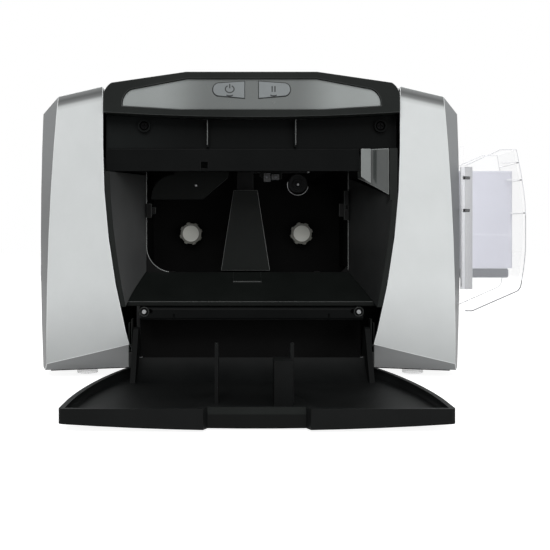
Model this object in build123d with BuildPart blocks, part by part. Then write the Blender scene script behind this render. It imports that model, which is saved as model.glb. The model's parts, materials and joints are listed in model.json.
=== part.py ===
# A desktop printer for plastic ID cards, with its ribbon cover folded down and blank cards in its hopper.
# Lengths are in millimetres. The printer stands on z = 0, faces -Y, and its origin is under the middle of
# its whole box, the open cover and the card hopper included.

import math
import os

from build123d import *

os.makedirs("parts", exist_ok=True)

# ---- body, measured from its middle plane, its front plane and the table ----
body_half_width = 178.4  # widest line of the side shells
body_depth = 234.0
bezel_top = 246.5  # the highest line of the printer
wall = 3.0  # moulded shell wall
seam = 0.4  # gap between two moulded pieces
shell_back = body_depth - wall - seam  # where the shells and the roof meet the rear cover
foot_height = 4.0
shell_bottom = 6.0
shell_top = bezel_top - 10.5  # side shells, at the bezel
opening_half_width = 117.0  # front opening, upright part
opening_low_half = 93.0  # half of its width at the cover's hinge
waist_top = bezel_top - 56.5  # the opening is upright above this height, and drawn in on an arc below it
facet_half_width = body_half_width - 11.6  # crease between the front face and the outer facet
facet_lean = 10.0  # the crease leans in by this much towards the top
lean_start = 30.0
facet_depth = 25.0
flank_depth = 60.0  # the sides run straight back from here
flank_bow = 2.2
roof_crease_x = body_half_width - 21.8
roof_crease_z = shell_top - 4.6
roof_edge_x = body_half_width - 2.2
roof_edge_z = shell_top - 14.5
rear_slope_start = 140.0  # the roof falls away behind this depth
rear_slope_fall = 0.28
wedge_corner_x = opening_low_half + 6.0  # undercut at a shell's lower front corner: where it starts
wedge_corner_z = 31.8
wedge_rise_out = 0.121  # how fast it comes down towards the side and towards the back
wedge_rise_back = 0.4126
screw_shank = 1.6
boss_front = shell_back - 15.6  # bosses for the rear cover's screws, on both sides
boss_x = body_half_width - 28.4
boss_low = 24.0
boss_high = bezel_top - 56.5

# ---- bezel arch and control panel ----
bezel_front = -6.0
bezel_depth = 22.0
bezel_height = 35.5
bezel_half_width = opening_half_width - 0.6
bezel_flat = 51.5  # half of the flat top
bezel_shoulder_x = bezel_half_width - 6.4
bezel_shoulder_z = bezel_top - 8.5
bezel_bottom_rise = 3.9  # its lower edge is this much higher at the sides
panel_recess = 2.0
panel_thickness = 2.5
button_travel = 1.0
button_gap = 0.4
button_depth = 6.0
button_inner = 5.6  # from the middle plane to a button's inner side
button_outer = 26.5

# ---- front cover (the ribbon door) ----
hinge_z = 19.75
cover_lap = 2.2  # how far its rim laps over the side shells
cover_bottom = 1.5
cover_height = 13.0
cover_rim = 3.5
cover_floor = 2.7
cover_crown = 4.0  # its outer face bulges by this much in the middle
cover_hinge_edge = -3.0
notch_half_width = 31.3
notch_set_back = 6.0
arm_thickness = 4.0
arm_inner_x = opening_low_half - arm_thickness - 0.5
arm_top = 46.0
scoop_start = -42.0
scoop_radius = 50.4
fin_x = 25.7
fin_thickness = 2.4
fin_height = 41.0
cover_gap = 0.5  # between the closed cover and the body
pin_radius = 2.5
running_gap = 0.05

# ---- ribbon bay ----
card_length = 85.6
card_width = 54.0
card_thickness = 0.76
bay_front = 56.0
bay_room = 18.0  # how much deeper the bay is than a card is wide, for the bearings of its rollers
bay_left = 5.0 - opening_low_half
bay_right = opening_low_half - 10.0
bay_bottom = 87.0
bay_top = bezel_top - 64.5
bay_corner = 22.0
bay_back = bay_front + card_width + bay_room
plate_thickness = 3.0
ledge_front = 10.0
ledge_front_z = 65.3
cheek_wall = 2.5
land = 4.0  # flat front edge of a cheek
fascia_bottom = bezel_top - 58.9
fascia_front = 10.0
rib_x = 34.7
valance_front = 7.0
valance_bottom = bezel_top - 77.0
bar_bottom = 51.0
bar_top = 61.0
lower_panel_y = 38.0

# ---- ribbon hubs, card path and drive ----
roller_z = 78.5
hub_z = roller_z + 41.3
takeup_x = -53.0
supply_x = 47.5
hub_radius = 10.9
hub_disc_radius = 7.1
hub_reach = 15.0  # in front of the bay's back wall
hub_teeth = 8
card_y = bay_front + card_width / 2 + 12.0
platen_x = -4.0
roller_radius = 7.0
roller_rubber = card_width - 1.0
shaft_radius = 3.0
bushing_radius = 5.0
gear_module = 1.0
roller_teeth = 24
idler_teeth = 42
pinion_teeth = 12
hub_gear_teeth = 36
gear_width = 6.0
gear_y = bay_back + 5.5
mech_y = bay_back + 14.0
mech_thickness = 2.0
motor_half = 17.5
motor_length = 26.0
motor_shaft_radius = 2.5

# ---- print head ----
head_front = bay_front + 10.0
head_bottom = bay_bottom + 1.0
head_top = bay_top - 25.0
head_half_bottom = 21.0
head_half_top = 10.3
head_lift = 3.0
cam_x = 43.0
cam_z = bay_top - 18.7
cam_high = 10.0
cam_gap = 0.3
rod_radius = 2.5
rod_spacing = 10.0
rod_y = bay_back - 16.0

# ---- card hopper ----
stack_left = body_half_width - 38.0
stack_bottom = 90.0
stack_height = 83.5
hopper_reach = stack_left + card_length + 10.0
hopper_front = card_y - card_width / 2 - 4.0
hopper_top = stack_bottom + stack_height + 18.1
hopper_wall = 2.0
tray_thickness = 8.2
column_x = body_half_width + 2.1
column_width = 10.3
hopper_hinge_z = 62.0
hopper_hinge_x = body_half_width + 11.6
frame_low = hopper_hinge_z - 12.0  # the hopper's frame, in the opening of the right shell
frame_high = hopper_top + 3.0

# ---- the cover closes between its hinge and the bezel's lower edge ----
hinge_y = hinge_z - cover_bottom - cover_height - cover_gap
bezel_bottom_middle = bezel_top - bezel_height
bezel_bottom_side = bezel_bottom_middle + bezel_bottom_rise
cover_reach = bezel_bottom_middle - hinge_z - hinge_y - cover_gap  # from the front plane to its far edge

# ---- the printer's own frame ----
middle_x = (body_half_width - hopper_reach) / 2
front_y = (cover_reach - body_depth) / 2
floor = Plane((middle_x, front_y, 0))
front = Plane((middle_x, front_y, 0), x_dir=(1, 0, 0), z_dir=(0, -1, 0))
side = Plane((middle_x, front_y, 0), x_dir=(0, 1, 0), z_dir=(1, 0, 0))


def block(x_range, y_range, z_range, mode=Mode.ADD):
    """A box between two values on each axis."""
    middle = [(low + high) / 2 for low, high in (x_range, y_range, z_range)]
    size = [high - low for low, high in (x_range, y_range, z_range)]
    with Locations(tuple(middle)):
        Box(*size, mode=mode)


def bar_along_y(x, z, radius, y_range, mode=Mode.ADD):
    """A round bar that runs from front to back."""
    with Locations((x, sum(y_range) / 2, z)):
        Cylinder(radius, y_range[1] - y_range[0], rotation=(90, 0, 0), mode=mode)


def bar_along_x(y, z, radius, x_range, mode=Mode.ADD):
    """A round bar that runs from side to side."""
    with Locations((sum(x_range) / 2, y, z)):
        Cylinder(radius, x_range[1] - x_range[0], rotation=(0, 90, 0), mode=mode)


waist_in = opening_half_width - opening_low_half
waist_radius = ((waist_top - hinge_z) ** 2 + waist_in**2) / (2 * waist_in)


def waist(z):
    """Half width of the front opening at a height."""
    drop = max(0.0, waist_top - z)
    return opening_half_width - waist_radius + math.sqrt(waist_radius**2 - drop**2)


def facing_front(x, y, z):
    """A sketch plane at a point of the body, facing the viewer, with z upwards."""
    return Plane(floor.origin + Vector(x, y, z), x_dir=(1, 0, 0), z_dir=(0, -1, 0))


def gear_outline(teeth, phase=0.0):
    """Points of a spur gear with tapered teeth; phase turns it by a share of one tooth."""
    pitch_radius = gear_module * teeth / 2
    steps = ((pitch_radius - 1.2 * gear_module, 0.33), (pitch_radius + 0.85 * gear_module, 0.11))
    (root_radius, root_share), (tip_radius, tip_share) = steps
    flanks = [(root_radius, -root_share), (tip_radius, -tip_share)]
    flanks += [(tip_radius, tip_share), (root_radius, root_share)]
    points = []
    for tooth in range(teeth):
        for radius, share in flanks:
            angle = 2 * math.pi * (tooth + phase + share) / teeth
            points.append((radius * math.cos(angle), radius * math.sin(angle)))
    return points


# ---- side shells: silver mouldings, open towards the middle and below ----
def shell_block(hand, inset):
    """The solid that one side shell encloses, drawn in by inset, with the body's front at x = y = 0."""
    arc_steps = 5
    arc_rise = (waist_top - shell_bottom) / arc_steps
    heights = [shell_bottom + arc_rise * step for step in range(arc_steps + 1)]
    heights += [shell_top - 20, shell_top + 4]
    flank_middle = (roof_edge_z + shell_bottom) / 2
    flank_half = (roof_edge_z - shell_bottom) / 2
    if inset:
        heights[0] -= 1
    reach_in = 12.0 if inset else 0.0
    with BuildPart() as solid:
        for z in heights:
            inner = waist(z) + seam
            facet = facet_half_width - facet_lean * ((z - lean_start) / (shell_top - lean_start)) ** 2
            flank = body_half_width - flank_bow * ((z - flank_middle) / flank_half) ** 2
            slope = facet_depth / (facet - inner)
            outline = [
                (inner - reach_in, inset * 1.15 - reach_in * slope),
                (facet - inset * 0.9, facet_depth + inset * 0.65),
                (flank - inset, flank_depth + inset * 0.2),
                (flank - inset, body_depth - 30),
                (flank - 14 - inset, shell_back),
                (inner - reach_in, shell_back),
            ]
            with BuildSketch(Plane.XY.offset(z)):
                with BuildLine():
                    Polyline([(hand * x, y) for x, y in outline], close=True)
                make_face()
        loft(ruled=True)
        for start, end in roof_lines(hand, inset):
            split(bisect_by=roof_plane(start, end), keep=Keep.BOTTOM)
        split(bisect_by=rear_slope(Plane.XY, inset), keep=Keep.BOTTOM)
        split(bisect_by=wedge_plane(hand).offset(inset), keep=Keep.TOP)
    return solid.part


def roof_lines(hand, inset):
    """The two slopes of a shell's roof, each as two points of the front view."""
    inner = (hand * opening_half_width, shell_top - inset)
    crease = (hand * roof_crease_x, roof_crease_z - inset)
    edge = (hand * roof_edge_x, roof_edge_z - inset)
    return (inner, crease), (crease, edge)


def roof_plane(start, end):
    """A plane that runs straight back through two points of the front view, facing up."""
    run = end[0] - start[0]
    rise = end[1] - start[1]
    sense = 1 if run > 0 else -1
    return Plane((start[0], 0, start[1]), x_dir=(0, 1, 0), z_dir=(-rise * sense, 0, run * sense))


def rear_slope(base, inset):
    """The slope of the roof behind rear_slope_start in a frame, facing up and back."""
    origin = base.origin + Vector(0, rear_slope_start, bezel_top - inset)
    return Plane(origin, x_dir=(1, 0, 0), z_dir=(0, rear_slope_fall, 1))


def wedge_height(x, y):
    """Height of the undercut under a shell's front corner, x from the middle and y from the front."""
    return wedge_corner_z - wedge_rise_out * (x - wedge_corner_x) - wedge_rise_back * y


def wedge_depth(x, z):
    """Depth at which that undercut has come down to a height."""
    return (wedge_corner_z - wedge_rise_out * (x - wedge_corner_x) - z) / wedge_rise_back


def wedge_plane(hand):
    """The undercut as a plane, facing up into the shell."""
    origin = (hand * wedge_corner_x, 0, wedge_corner_z)
    upwards = (hand * wedge_rise_out, wedge_rise_back, 1)
    return Plane(origin, x_dir=(1, 0, -hand * wedge_rise_out), z_dir=upwards)


def side_shell(hand):
    """One side shell, before its own openings are cut, with the body's front middle at x = y = 0."""
    outer = shell_block(hand, 0.0)
    hollow = shell_block(hand, wall)
    with BuildPart() as shell:
        add(outer)
        add(hollow, mode=Mode.SUBTRACT)
    return shell.part


shell_cut = body_half_width - 18.4  # openings in the shells' flanks are cut from this line outwards
chute_bottom = roller_z + 0.5
chute_top = roller_z + 14.5
chute_half = card_width / 2 + 3.0
with BuildPart(floor) as left_shell:
    add(side_shell(-1))
    block((-boss_x - 12, -boss_x + 7), (boss_front, shell_back), (boss_high - 7, boss_high + 7))
    bar_along_y(-boss_x, boss_high, screw_shank, (boss_front - 1, body_depth), Mode.SUBTRACT)
    slot_y = (card_y - chute_half - seam, card_y + chute_half + seam)
    slot_z = (chute_bottom - seam, chute_top + seam)
    block((-body_half_width - 2, -shell_cut), slot_y, slot_z, Mode.SUBTRACT)

hopper_back = 2 * card_y - hopper_front
hopper_hole_y = (hopper_front - seam, hopper_back + seam)
hopper_hole_z = (frame_low - seam, frame_high + seam)
with BuildPart(floor) as right_shell:
    add(side_shell(1))
    block((boss_x - 7, boss_x + 12), (boss_front, shell_back), (boss_high - 7, boss_high + 7))
    bar_along_y(boss_x, boss_high, screw_shank, (boss_front - 1, body_depth), Mode.SUBTRACT)
    block((shell_cut, body_half_width + 2), hopper_hole_y, hopper_hole_z, Mode.SUBTRACT)

left_shell.part.label = "left_shell"
export_step(left_shell.part, "parts/left_shell.step")
right_shell.part.label = "right_shell"
export_step(right_shell.part, "parts/right_shell.step")


# ---- base pan with the cover's hinge lugs, and four rubber feet ----
pan_top = 9.0
pan_side = body_half_width - flank_bow - wall - 1.0
pan_tongue = opening_low_half - 4.5  # half of its width between the shells' front corners
lug_inner = arm_inner_x + arm_thickness + seam
lug_outer = opening_low_half + 3.5
lug_front = -1.0
lug_back = 30.0
lug_top = hinge_z + 6.0
foot_x = body_half_width - 38.4
foot_rows = (70.0, body_depth - 29.0)
pan_clear_z = shell_bottom - wall - 1.0
pan_corner_x = body_half_width - 10.4
with BuildPart(floor) as base_pan:
    with BuildSketch(floor.offset(foot_height)):
        with BuildLine():
            half = [(lug_outer, lug_back - 4), (lug_outer, lug_back + 20), (pan_tongue, lug_back + 20)]
            half += [(pan_tongue, wedge_depth(pan_tongue, pan_clear_z))]
            half += [(pan_corner_x, wedge_depth(pan_corner_x, pan_clear_z)), (pan_side, flank_depth + 6)]
            half += [(pan_side, body_depth - 34), (pan_corner_x - 10, body_depth - wall - 2)]
            Polyline(half + [(-x, y) for x, y in reversed(half)], close=True)
        make_face()
    extrude(amount=pan_top - foot_height)
    for hand in (-1, 1):
        inner, outer = sorted((hand * lug_inner, hand * lug_outer))
        with BuildSketch(side.offset(inner)):
            Polygon(
                [(lug_front, pan_top - 2), (lug_front, lug_top)]
                + [(wedge_depth(lug_outer, lug_top + seam), lug_top)]
                + [(lug_back, wedge_height(lug_outer, lug_back) - seam), (lug_back, pan_top - 2)],
                align=None,
            )
        extrude(amount=outer - inner)
        bar_along_x(hinge_y, hinge_z, pin_radius, (inner - 1, outer + 1), Mode.SUBTRACT)
        block((hand * boss_x - 6, hand * boss_x + 6), (boss_front - 3, shell_back),
              (pan_top - 2, boss_low + 6))
        bar_along_y(hand * boss_x, boss_low, screw_shank, (boss_front - 4, body_depth), Mode.SUBTRACT)
base_pan.part.label = "base_pan"
export_step(base_pan.part, "parts/base_pan.step")

with BuildPart(floor) as rubber_feet:
    for y in foot_rows:
        with Locations((-foot_x, y, foot_height / 2), (foot_x, y, foot_height / 2)):
            Cylinder(9.0, foot_height)
    fillet(rubber_feet.edges().group_by(Axis.Z)[0], 0.8)
rubber_feet.part.label = "rubber_feet"
export_step(rubber_feet.part, "parts/rubber_feet.step")

with BuildPart(floor) as hinge_pins:
    for hand in (-1, 1):
        inner, outer = sorted((hand * (arm_inner_x - 2), hand * lug_outer))
        bar_along_x(hinge_y, hinge_z, pin_radius, (inner, outer))
hinge_pins.part.label = "hinge_pins"
export_step(hinge_pins.part, "parts/hinge_pins.step")


# ---- top cover: the black roof between the side shells, with a flange down each side ----
roof_front = bezel_front + bezel_depth + seam
roof_low = shell_top - 22.0


def roof_block(inset):
    """The solid that the roof encloses, drawn in by inset, with the body's front middle at x = y = 0."""
    half = opening_half_width - inset
    arch = [(half, roof_low - inset), (half, shell_top - 1 - inset)]
    arch += [(bezel_shoulder_x - inset, bezel_shoulder_z - inset), (bezel_flat, bezel_top - inset)]
    with BuildPart() as solid:
        with BuildSketch(Plane((0, roof_front - inset, 0), x_dir=(1, 0, 0), z_dir=(0, -1, 0))):
            with BuildLine():
                Polyline(arch + [(-x, z) for x, z in reversed(arch)], close=True)
            make_face()
        extrude(amount=-(shell_back - roof_front + 2 * inset))
        split(bisect_by=rear_slope(Plane.XY, inset), keep=Keep.BOTTOM)
    return solid.part


roof_outside = roof_block(0)
roof_inside = roof_block(wall)
with BuildPart(floor) as top_cover:
    add(roof_outside)
    add(roof_inside, mode=Mode.SUBTRACT)
top_cover.part.label = "top_cover"
export_step(top_cover.part, "parts/top_cover.step")

# ---- rear cover: flat, with vent slots, two socket openings and four counterbored screw holes ----
screw_radius = 2.0
screw_head_radius = 3.4
screw_head_depth = 1.8
rear_screw_points = [(-boss_x, boss_low), (boss_x, boss_low), (-boss_x, boss_high), (boss_x, boss_high)]
rear_half = boss_x + 11.0
rear_low = 10.0
rear_high = bezel_top - rear_slope_fall * (body_depth - rear_slope_start)
rear_corner = 5.0
socket_z = 34.0
power_x = 92.0
usb_x = 60.0
power_hole = 8.0  # half of each opening's width and height
usb_hole = 7.0
vent_z = rear_high - 52.0
through = (body_depth - wall - 1, body_depth + 1)  # from inside the rear cover to outside it
with BuildPart(floor) as rear_cover:
    with BuildSketch(front.offset(-(body_depth - wall))):
        with BuildLine():
            FilletPolyline((-rear_half, rear_low), (-rear_half, rear_high), (rear_half, rear_high),
                           (rear_half, rear_low), radius=rear_corner, close=True)
        make_face()
    extrude(amount=-wall)
    with Locations((0, body_depth - wall / 2, vent_z)):
        with GridLocations(9.0, 1.0, 15, 1):
            Box(3.5, 3 * wall, 42, mode=Mode.SUBTRACT)
    for x, half in ((power_x, power_hole), (usb_x, usb_hole)):
        block((x - half, x + half), through, (socket_z - half, socket_z + half), Mode.SUBTRACT)
    for x, z in rear_screw_points:
        bar_along_y(x, z, screw_radius, through, Mode.SUBTRACT)
        bar_along_y(x, z, screw_head_radius, (body_depth - screw_head_depth, body_depth + 1), Mode.SUBTRACT)
rear_cover.part.label = "rear_cover"
export_step(rear_cover.part, "parts/rear_cover.step")


# ---- bezel arch with the control panel, its two buttons and the board behind them ----
def bezel_outline(inset):
    """Front view of the arch, drawn in by inset."""
    low = bezel_bottom_side + inset
    half = bezel_half_width - inset
    shoulder = (bezel_shoulder_x - inset * 0.5, bezel_shoulder_z - inset)
    with BuildSketch() as outline:
        with BuildLine():
            Polyline([(-shoulder[0], shoulder[1]), (-bezel_flat, bezel_top - inset)]
                     + [(bezel_flat, bezel_top - inset), shoulder])
            side_top = shoulder[1] - 14
            ThreePointArc(shoulder, (half - 1.4, shoulder[1] - 5.5), (half, side_top))
            Line((half, side_top), (half, low))
            ThreePointArc((half, low), (0, bezel_bottom_middle + inset), (-half, low))
            Line((-half, low), (-half, side_top))
            ThreePointArc((-half, side_top), (-half + 1.4, shoulder[1] - 5.5), (-shoulder[0], shoulder[1]))
        make_face()
    return outline.sketch


def panel_outline(grow):
    """Front view of the silver panel, with both ends rounded off, grown by grow."""
    with BuildSketch() as outline:
        with BuildLine():
            flat = (bezel_flat - 0.5, bezel_top - 5.7)
            shoulder = (bezel_half_width - 22.0, bezel_top - 13.9)
            bulge = (bezel_half_width - 17.0, bezel_top - 18.5)
            end = (bezel_half_width - 15.2, bezel_top - 26.3)
            low = (bezel_flat + 4.0, bezel_top - 29.1)
            right = [flat, shoulder, bulge, end, low]
            left = [(-x, z) for x, z in right]
            Polyline(left[1], left[0], right[0], right[1])
            ThreePointArc(*right[1:4])
            Polyline(right[3], right[4], left[4], left[3])
            ThreePointArc(left[3], left[2], left[1])
        make_face()
        if grow:
            offset(amount=grow, kind=Kind.INTERSECTION)
    return outline.sketch


def button_outline(hand, grow):
    """Front view of a button: tall towards the middle, rounded at its outer end."""
    with BuildSketch() as outline:
        with BuildLine():
            lower = (hand * button_outer, bezel_top - 18.7)
            upper = (hand * button_outer, bezel_top - 8.9)
            inner_low = (hand * button_inner, bezel_top - 20.6)
            inner_high = (hand * button_inner, bezel_top - 7.5)
            Polyline(lower, inner_low, inner_high, upper)
            ThreePointArc(upper, (hand * (button_outer + 3.8), bezel_top - 13.8), lower)
        make_face()
        if grow:
            offset(amount=grow, kind=Kind.INTERSECTION)
    return outline.sketch


panel_front = bezel_front + panel_recess
panel_back = panel_front + panel_thickness
web_back = panel_back + wall
with BuildPart(floor) as top_bezel:
    with BuildSketch(front.offset(-bezel_front)):
        add(bezel_outline(0))
    extrude(amount=-bezel_depth)
    with BuildSketch(front.offset(-web_back)):
        add(bezel_outline(wall))
    extrude(amount=-bezel_depth, mode=Mode.SUBTRACT)
    with BuildSketch(front.offset(-bezel_front)):
        add(panel_outline(seam))
    extrude(amount=-(panel_back - bezel_front), mode=Mode.SUBTRACT)
    with BuildSketch(front.offset(-bezel_front)):
        for hand in (-1, 1):
            add(button_outline(hand, button_gap))
    extrude(amount=-bezel_depth, mode=Mode.SUBTRACT)
top_bezel.part.label = "top_bezel"
export_step(top_bezel.part, "parts/top_bezel.step")

light_z = bezel_top - 23.5
light_x = (button_inner + button_outer) / 2 + 1.5
with BuildPart(floor) as control_panel:
    with BuildSketch(front.offset(-panel_front)):
        add(panel_outline(0))
        for hand in (-1, 1):
            add(button_outline(hand, button_gap), mode=Mode.SUBTRACT)
    extrude(amount=-(panel_thickness - 0.1))
    for hand in (-1, 1):
        bar_along_y(hand * light_x, light_z, 0.9, (panel_front - 1, panel_back), Mode.SUBTRACT)
control_panel.part.label = "control_panel"
export_step(control_panel.part, "parts/control_panel.step")

button_front = panel_front - 1.0
with BuildPart(floor) as power_button:
    with BuildSketch(front.offset(-button_front)):
        add(button_outline(-1, 0))
    extrude(amount=-button_depth)
    fillet(power_button.edges().group_by(Axis.Y)[0], 0.4)
power_button.part.label = "power_button"
export_step(power_button.part, "parts/power_button.step")

with BuildPart(floor) as pause_button:
    with BuildSketch(front.offset(-button_front)):
        add(button_outline(1, 0))
    extrude(amount=-button_depth)
    fillet(pause_button.edges().group_by(Axis.Y)[0], 0.4)
pause_button.part.label = "pause_button"
export_step(pause_button.part, "parts/pause_button.step")

switch_front = button_front + button_depth + button_travel + 0.3
board_front = switch_front + 2.6
with BuildPart(floor) as button_board:
    block((-50, 50), (board_front, board_front + 1.6), (bezel_top - 29.5, bezel_top - wall - seam))
    for x in (-light_x, light_x):
        bar_along_y(x, bezel_top - 14, 2.2, (switch_front, board_front))
button_board.part.label = "button_board"
export_step(button_board.part, "parts/button_board.step")

# ---- fascia under the bezel, with two ribs and two screws in raised rings ----
fascia_half = opening_half_width - 1.0
fascia_screw_z = bezel_top - 41.0
fascia_screw_points = [(30.5 - fascia_half, fascia_screw_z), (fascia_half - 13.0, fascia_screw_z)]
with BuildPart(floor) as upper_fascia:
    with BuildSketch(front.offset(-fascia_front)):
        with BuildLine():
            ThreePointArc((-fascia_half, bezel_bottom_side - seam), (0, bezel_bottom_middle - seam),
                          (fascia_half, bezel_bottom_side - seam))
            Polyline((fascia_half, bezel_bottom_side - seam), (fascia_half, fascia_bottom),
                     (-fascia_half, fascia_bottom), (-fascia_half, bezel_bottom_side - seam))
        make_face()
    extrude(amount=-wall)
    for x in (-rib_x, rib_x):
        block((x - 0.8, x + 0.8), (fascia_front - 6, fascia_front),
              (fascia_bottom + 1, bezel_bottom_middle - 2))
    for x, z in fascia_screw_points:
        bar_along_y(x, z, 5.0, (fascia_front - 3.5, fascia_front + 0.5))
        bar_along_y(x, z, 3.8, (fascia_front - 4, fascia_front), Mode.SUBTRACT)
        bar_along_y(x, z, screw_shank, (fascia_front - 4, fascia_front + wall + 1), Mode.SUBTRACT)
upper_fascia.part.label = "upper_fascia"
export_step(upper_fascia.part, "parts/upper_fascia.step")

# ---- screws with crossed slots: two in the fascia, two in the sill bar and four in the rear cover ----
bar_half = opening_low_half - 4.5
bar_screw_points = [(3.5 - bar_half, bar_top - 3.4), (bar_half - 3.5, bar_top - 3.4)]
bar_front = 3.0


def screw(x, z, head_y, under_y, end_y, radius):
    """A screw from its head's face at head_y, seated at under_y, to its tip at end_y."""
    bar_along_y(x, z, radius, (min(head_y, under_y), max(head_y, under_y)))
    bar_along_y(x, z, screw_shank, (min(under_y, end_y), max(under_y, end_y)))
    with Locations((x, head_y, z)):
        Box(0.3 * radius, 1.6, 1.3 * radius, mode=Mode.SUBTRACT)
        Box(1.3 * radius, 1.6, 0.3 * radius, mode=Mode.SUBTRACT)


with BuildPart(floor) as case_screws:
    for x, z in fascia_screw_points:
        screw(x, z, fascia_front - 2.0, fascia_front, fascia_front + 9, 3.3)
    for x, z in bar_screw_points:
        screw(x, z, bar_front - 1.6, bar_front, bar_front + 9, 2.6)
    for x, z in rear_screw_points:
        screw(x, z, body_depth - 0.1, body_depth - screw_head_depth, body_depth - 16, screw_head_radius - 0.1)
case_screws.part.label = "case_screws"
export_step(case_screws.part, "parts/case_screws.step")

# ---- valance under the fascia, and the glossy shroud at its right end ----
valance_right = opening_half_width - 31.0
valance_top = fascia_bottom - seam
with BuildPart(floor) as valance:
    block((-fascia_half, valance_right), (valance_front, valance_front + wall), (valance_bottom, valance_top))
    block((-fascia_half, valance_right), (valance_front, valance_front + 9),
          (valance_bottom, valance_bottom + 2.5))
    block((-rib_x - 5.6, -rib_x - 0.1), (valance_front - 1, valance_front + wall),
          (valance_bottom - 1, valance_bottom + 7.5), Mode.SUBTRACT)
valance.part.label = "valance"
export_step(valance.part, "parts/valance.step")


def shroud_cut(base, drop):
    """The slanted line under the shroud, as a plane facing up in a frame, lowered by drop."""
    start = Vector(valance_right - 2, 0, valance_bottom - 3.5 - drop)
    run = Vector(29.0, 0, -18.0)
    return Plane(base.origin + start, x_dir=(0, 1, 0), z_dir=(-run.Z, 0, run.X))


strip_inner = opening_half_width - 7.4
strip_low = valance_bottom - 23.5
shroud_low = valance_bottom - 29.5
shroud_left = valance_right + seam
shroud_right = strip_inner - seam
shroud_middle = (shroud_left + shroud_right) / 2 + 0.2
with BuildPart(floor) as card_shroud:
    with BuildSketch(floor.offset(shroud_low)):
        with BuildLine():
            ThreePointArc((shroud_right, 4.0), (shroud_middle, 9.0), (shroud_left, 22.0))
            Line((shroud_left, 22.0), (shroud_left + cheek_wall, 22.6))
            ThreePointArc((shroud_left + cheek_wall, 22.6), (shroud_middle + 1.5, 11.2), (shroud_right, 6.6))
            Line((shroud_right, 6.6), (shroud_right, 4.0))
        make_face()
    extrude(amount=valance_top - shroud_low)
    split(bisect_by=shroud_cut(floor, 0), keep=Keep.TOP)
card_shroud.part.label = "card_shroud"
export_step(card_shroud.part, "parts/card_shroud.step")


# ---- ledge that slopes down from the bay to the front, with its small tab ----
def ledge_height(y):
    """Height of the ledge's upper face at a depth."""
    share = (y - ledge_front) / (bay_front - seam - ledge_front)
    return ledge_front_z + share * (bay_bottom - ledge_front_z)


ledge_half = opening_low_half + 7.0
ledge_back = bay_front - seam
tab_width = 23.7
tab_left = platen_x - 10.7
tab_front = ledge_back - 17.6
tab_back = ledge_back - 2.6
with BuildPart(floor) as front_ledge:
    with BuildSketch(side.offset(-ledge_half)):
        Polygon(
            [(ledge_front, ledge_front_z), (ledge_back, bay_bottom), (ledge_back, bay_bottom - 3.6)]
            + [(ledge_front + 3, bar_top + 0.8), (ledge_front, bar_top + 0.8)],
            align=None,
        )
    extrude(amount=2 * ledge_half)
    with BuildSketch(side.offset(tab_left)):
        Polygon(
            [(tab_front, ledge_height(tab_front) - 1), (tab_front, ledge_height(tab_front) + 1.6)]
            + [(tab_back, ledge_height(tab_back) + 1.6), (tab_back, ledge_height(tab_back) - 1)],
            align=None,
        )
    extrude(amount=tab_width)
front_ledge.part.label = "front_ledge"
export_step(front_ledge.part, "parts/front_ledge.step")


# ---- concave cheeks between the side shells and the bay ----
cheek_low = ledge_front_z - 7.3


def cheek(hand, back_x, top):
    """One cheek, with the body's front middle at x = y = 0, standing on the ledge."""
    with BuildPart() as piece:
        steps = 5
        for step in range(steps + 1):
            z = cheek_low + (top - cheek_low) * step / steps
            edge = waist(z)
            bend = (edge - land + back_x) / 2 + 1.5
            with BuildSketch(Plane.XY.offset(z)):
                with BuildLine():
                    Line((hand * edge, 1.0), (hand * (edge - land), 1.0))
                    ThreePointArc((hand * (edge - land), 1.0), (hand * bend, 22.0),
                                  (hand * back_x, ledge_back))
                    Line((hand * back_x, ledge_back), (hand * (back_x + cheek_wall), ledge_back))
                    ThreePointArc((hand * (back_x + cheek_wall), ledge_back),
                                  (hand * (bend + cheek_wall), 23.0), (hand * (edge - 1.0), 3.5))
                    Polyline((hand * (edge - 1.0), 3.5), (hand * edge, 3.5), (hand * edge, 1.0))
                make_face()
        loft(ruled=True)
        rise = (bay_bottom - ledge_front_z) / (ledge_back - ledge_front)
        resting = Plane((0, ledge_front, ledge_front_z + seam), x_dir=(1, 0, 0), z_dir=(0, -rise, 1))
        split(bisect_by=resting, keep=Keep.TOP)
        if hand > 0:
            split(bisect_by=shroud_cut(Plane.XY, seam), keep=Keep.BOTTOM)
    return piece.part


with BuildPart(floor) as left_cheek:
    add(cheek(-1, -bay_left, valance_bottom - seam))
left_cheek.part.label = "left_cheek"
export_step(left_cheek.part, "parts/left_cheek.step")

with BuildPart(floor) as right_cheek:
    add(cheek(1, bay_right, valance_bottom + 0.5))
    block((strip_inner, waist(strip_low)), (1.0, 4.2), (strip_low, valance_top))
right_cheek.part.label = "right_cheek"
export_step(right_cheek.part, "parts/right_cheek.step")

# ---- sill bar with its screws, and the lower panel behind it ----
with BuildPart(floor) as sill_bar:
    block((-bar_half, bar_half), (bar_front, bar_front + 10), (bar_bottom, bar_top))
    fillet(sill_bar.edges().filter_by(Axis.X), 2.0)
    for hand in (-1, 1):
        notch_x = hand * (bar_half - 27.1)
        block((notch_x - 0.6, notch_x + 0.6), (bar_front - 1, bar_front + 1.2),
              (bar_bottom - 1, bar_bottom + 5), Mode.SUBTRACT)
        bar_along_y(hand * (bar_half - 8.3), bar_top - 3, 1.8, (bar_front - 1, bar_front + 5), Mode.SUBTRACT)
    for x, z in bar_screw_points:
        bar_along_y(x, z, screw_shank, (bar_front - 1, bar_front + 9), Mode.SUBTRACT)
sill_bar.part.label = "sill_bar"
export_step(sill_bar.part, "parts/sill_bar.step")

with BuildPart(floor) as lower_panel:
    block((1.5 - opening_low_half, opening_low_half - 1.5), (lower_panel_y, lower_panel_y + wall),
          (pan_top + seam, ledge_height(lower_panel_y) - 6))
lower_panel.part.label = "lower_panel"
export_step(lower_panel.part, "parts/lower_panel.step")


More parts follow.
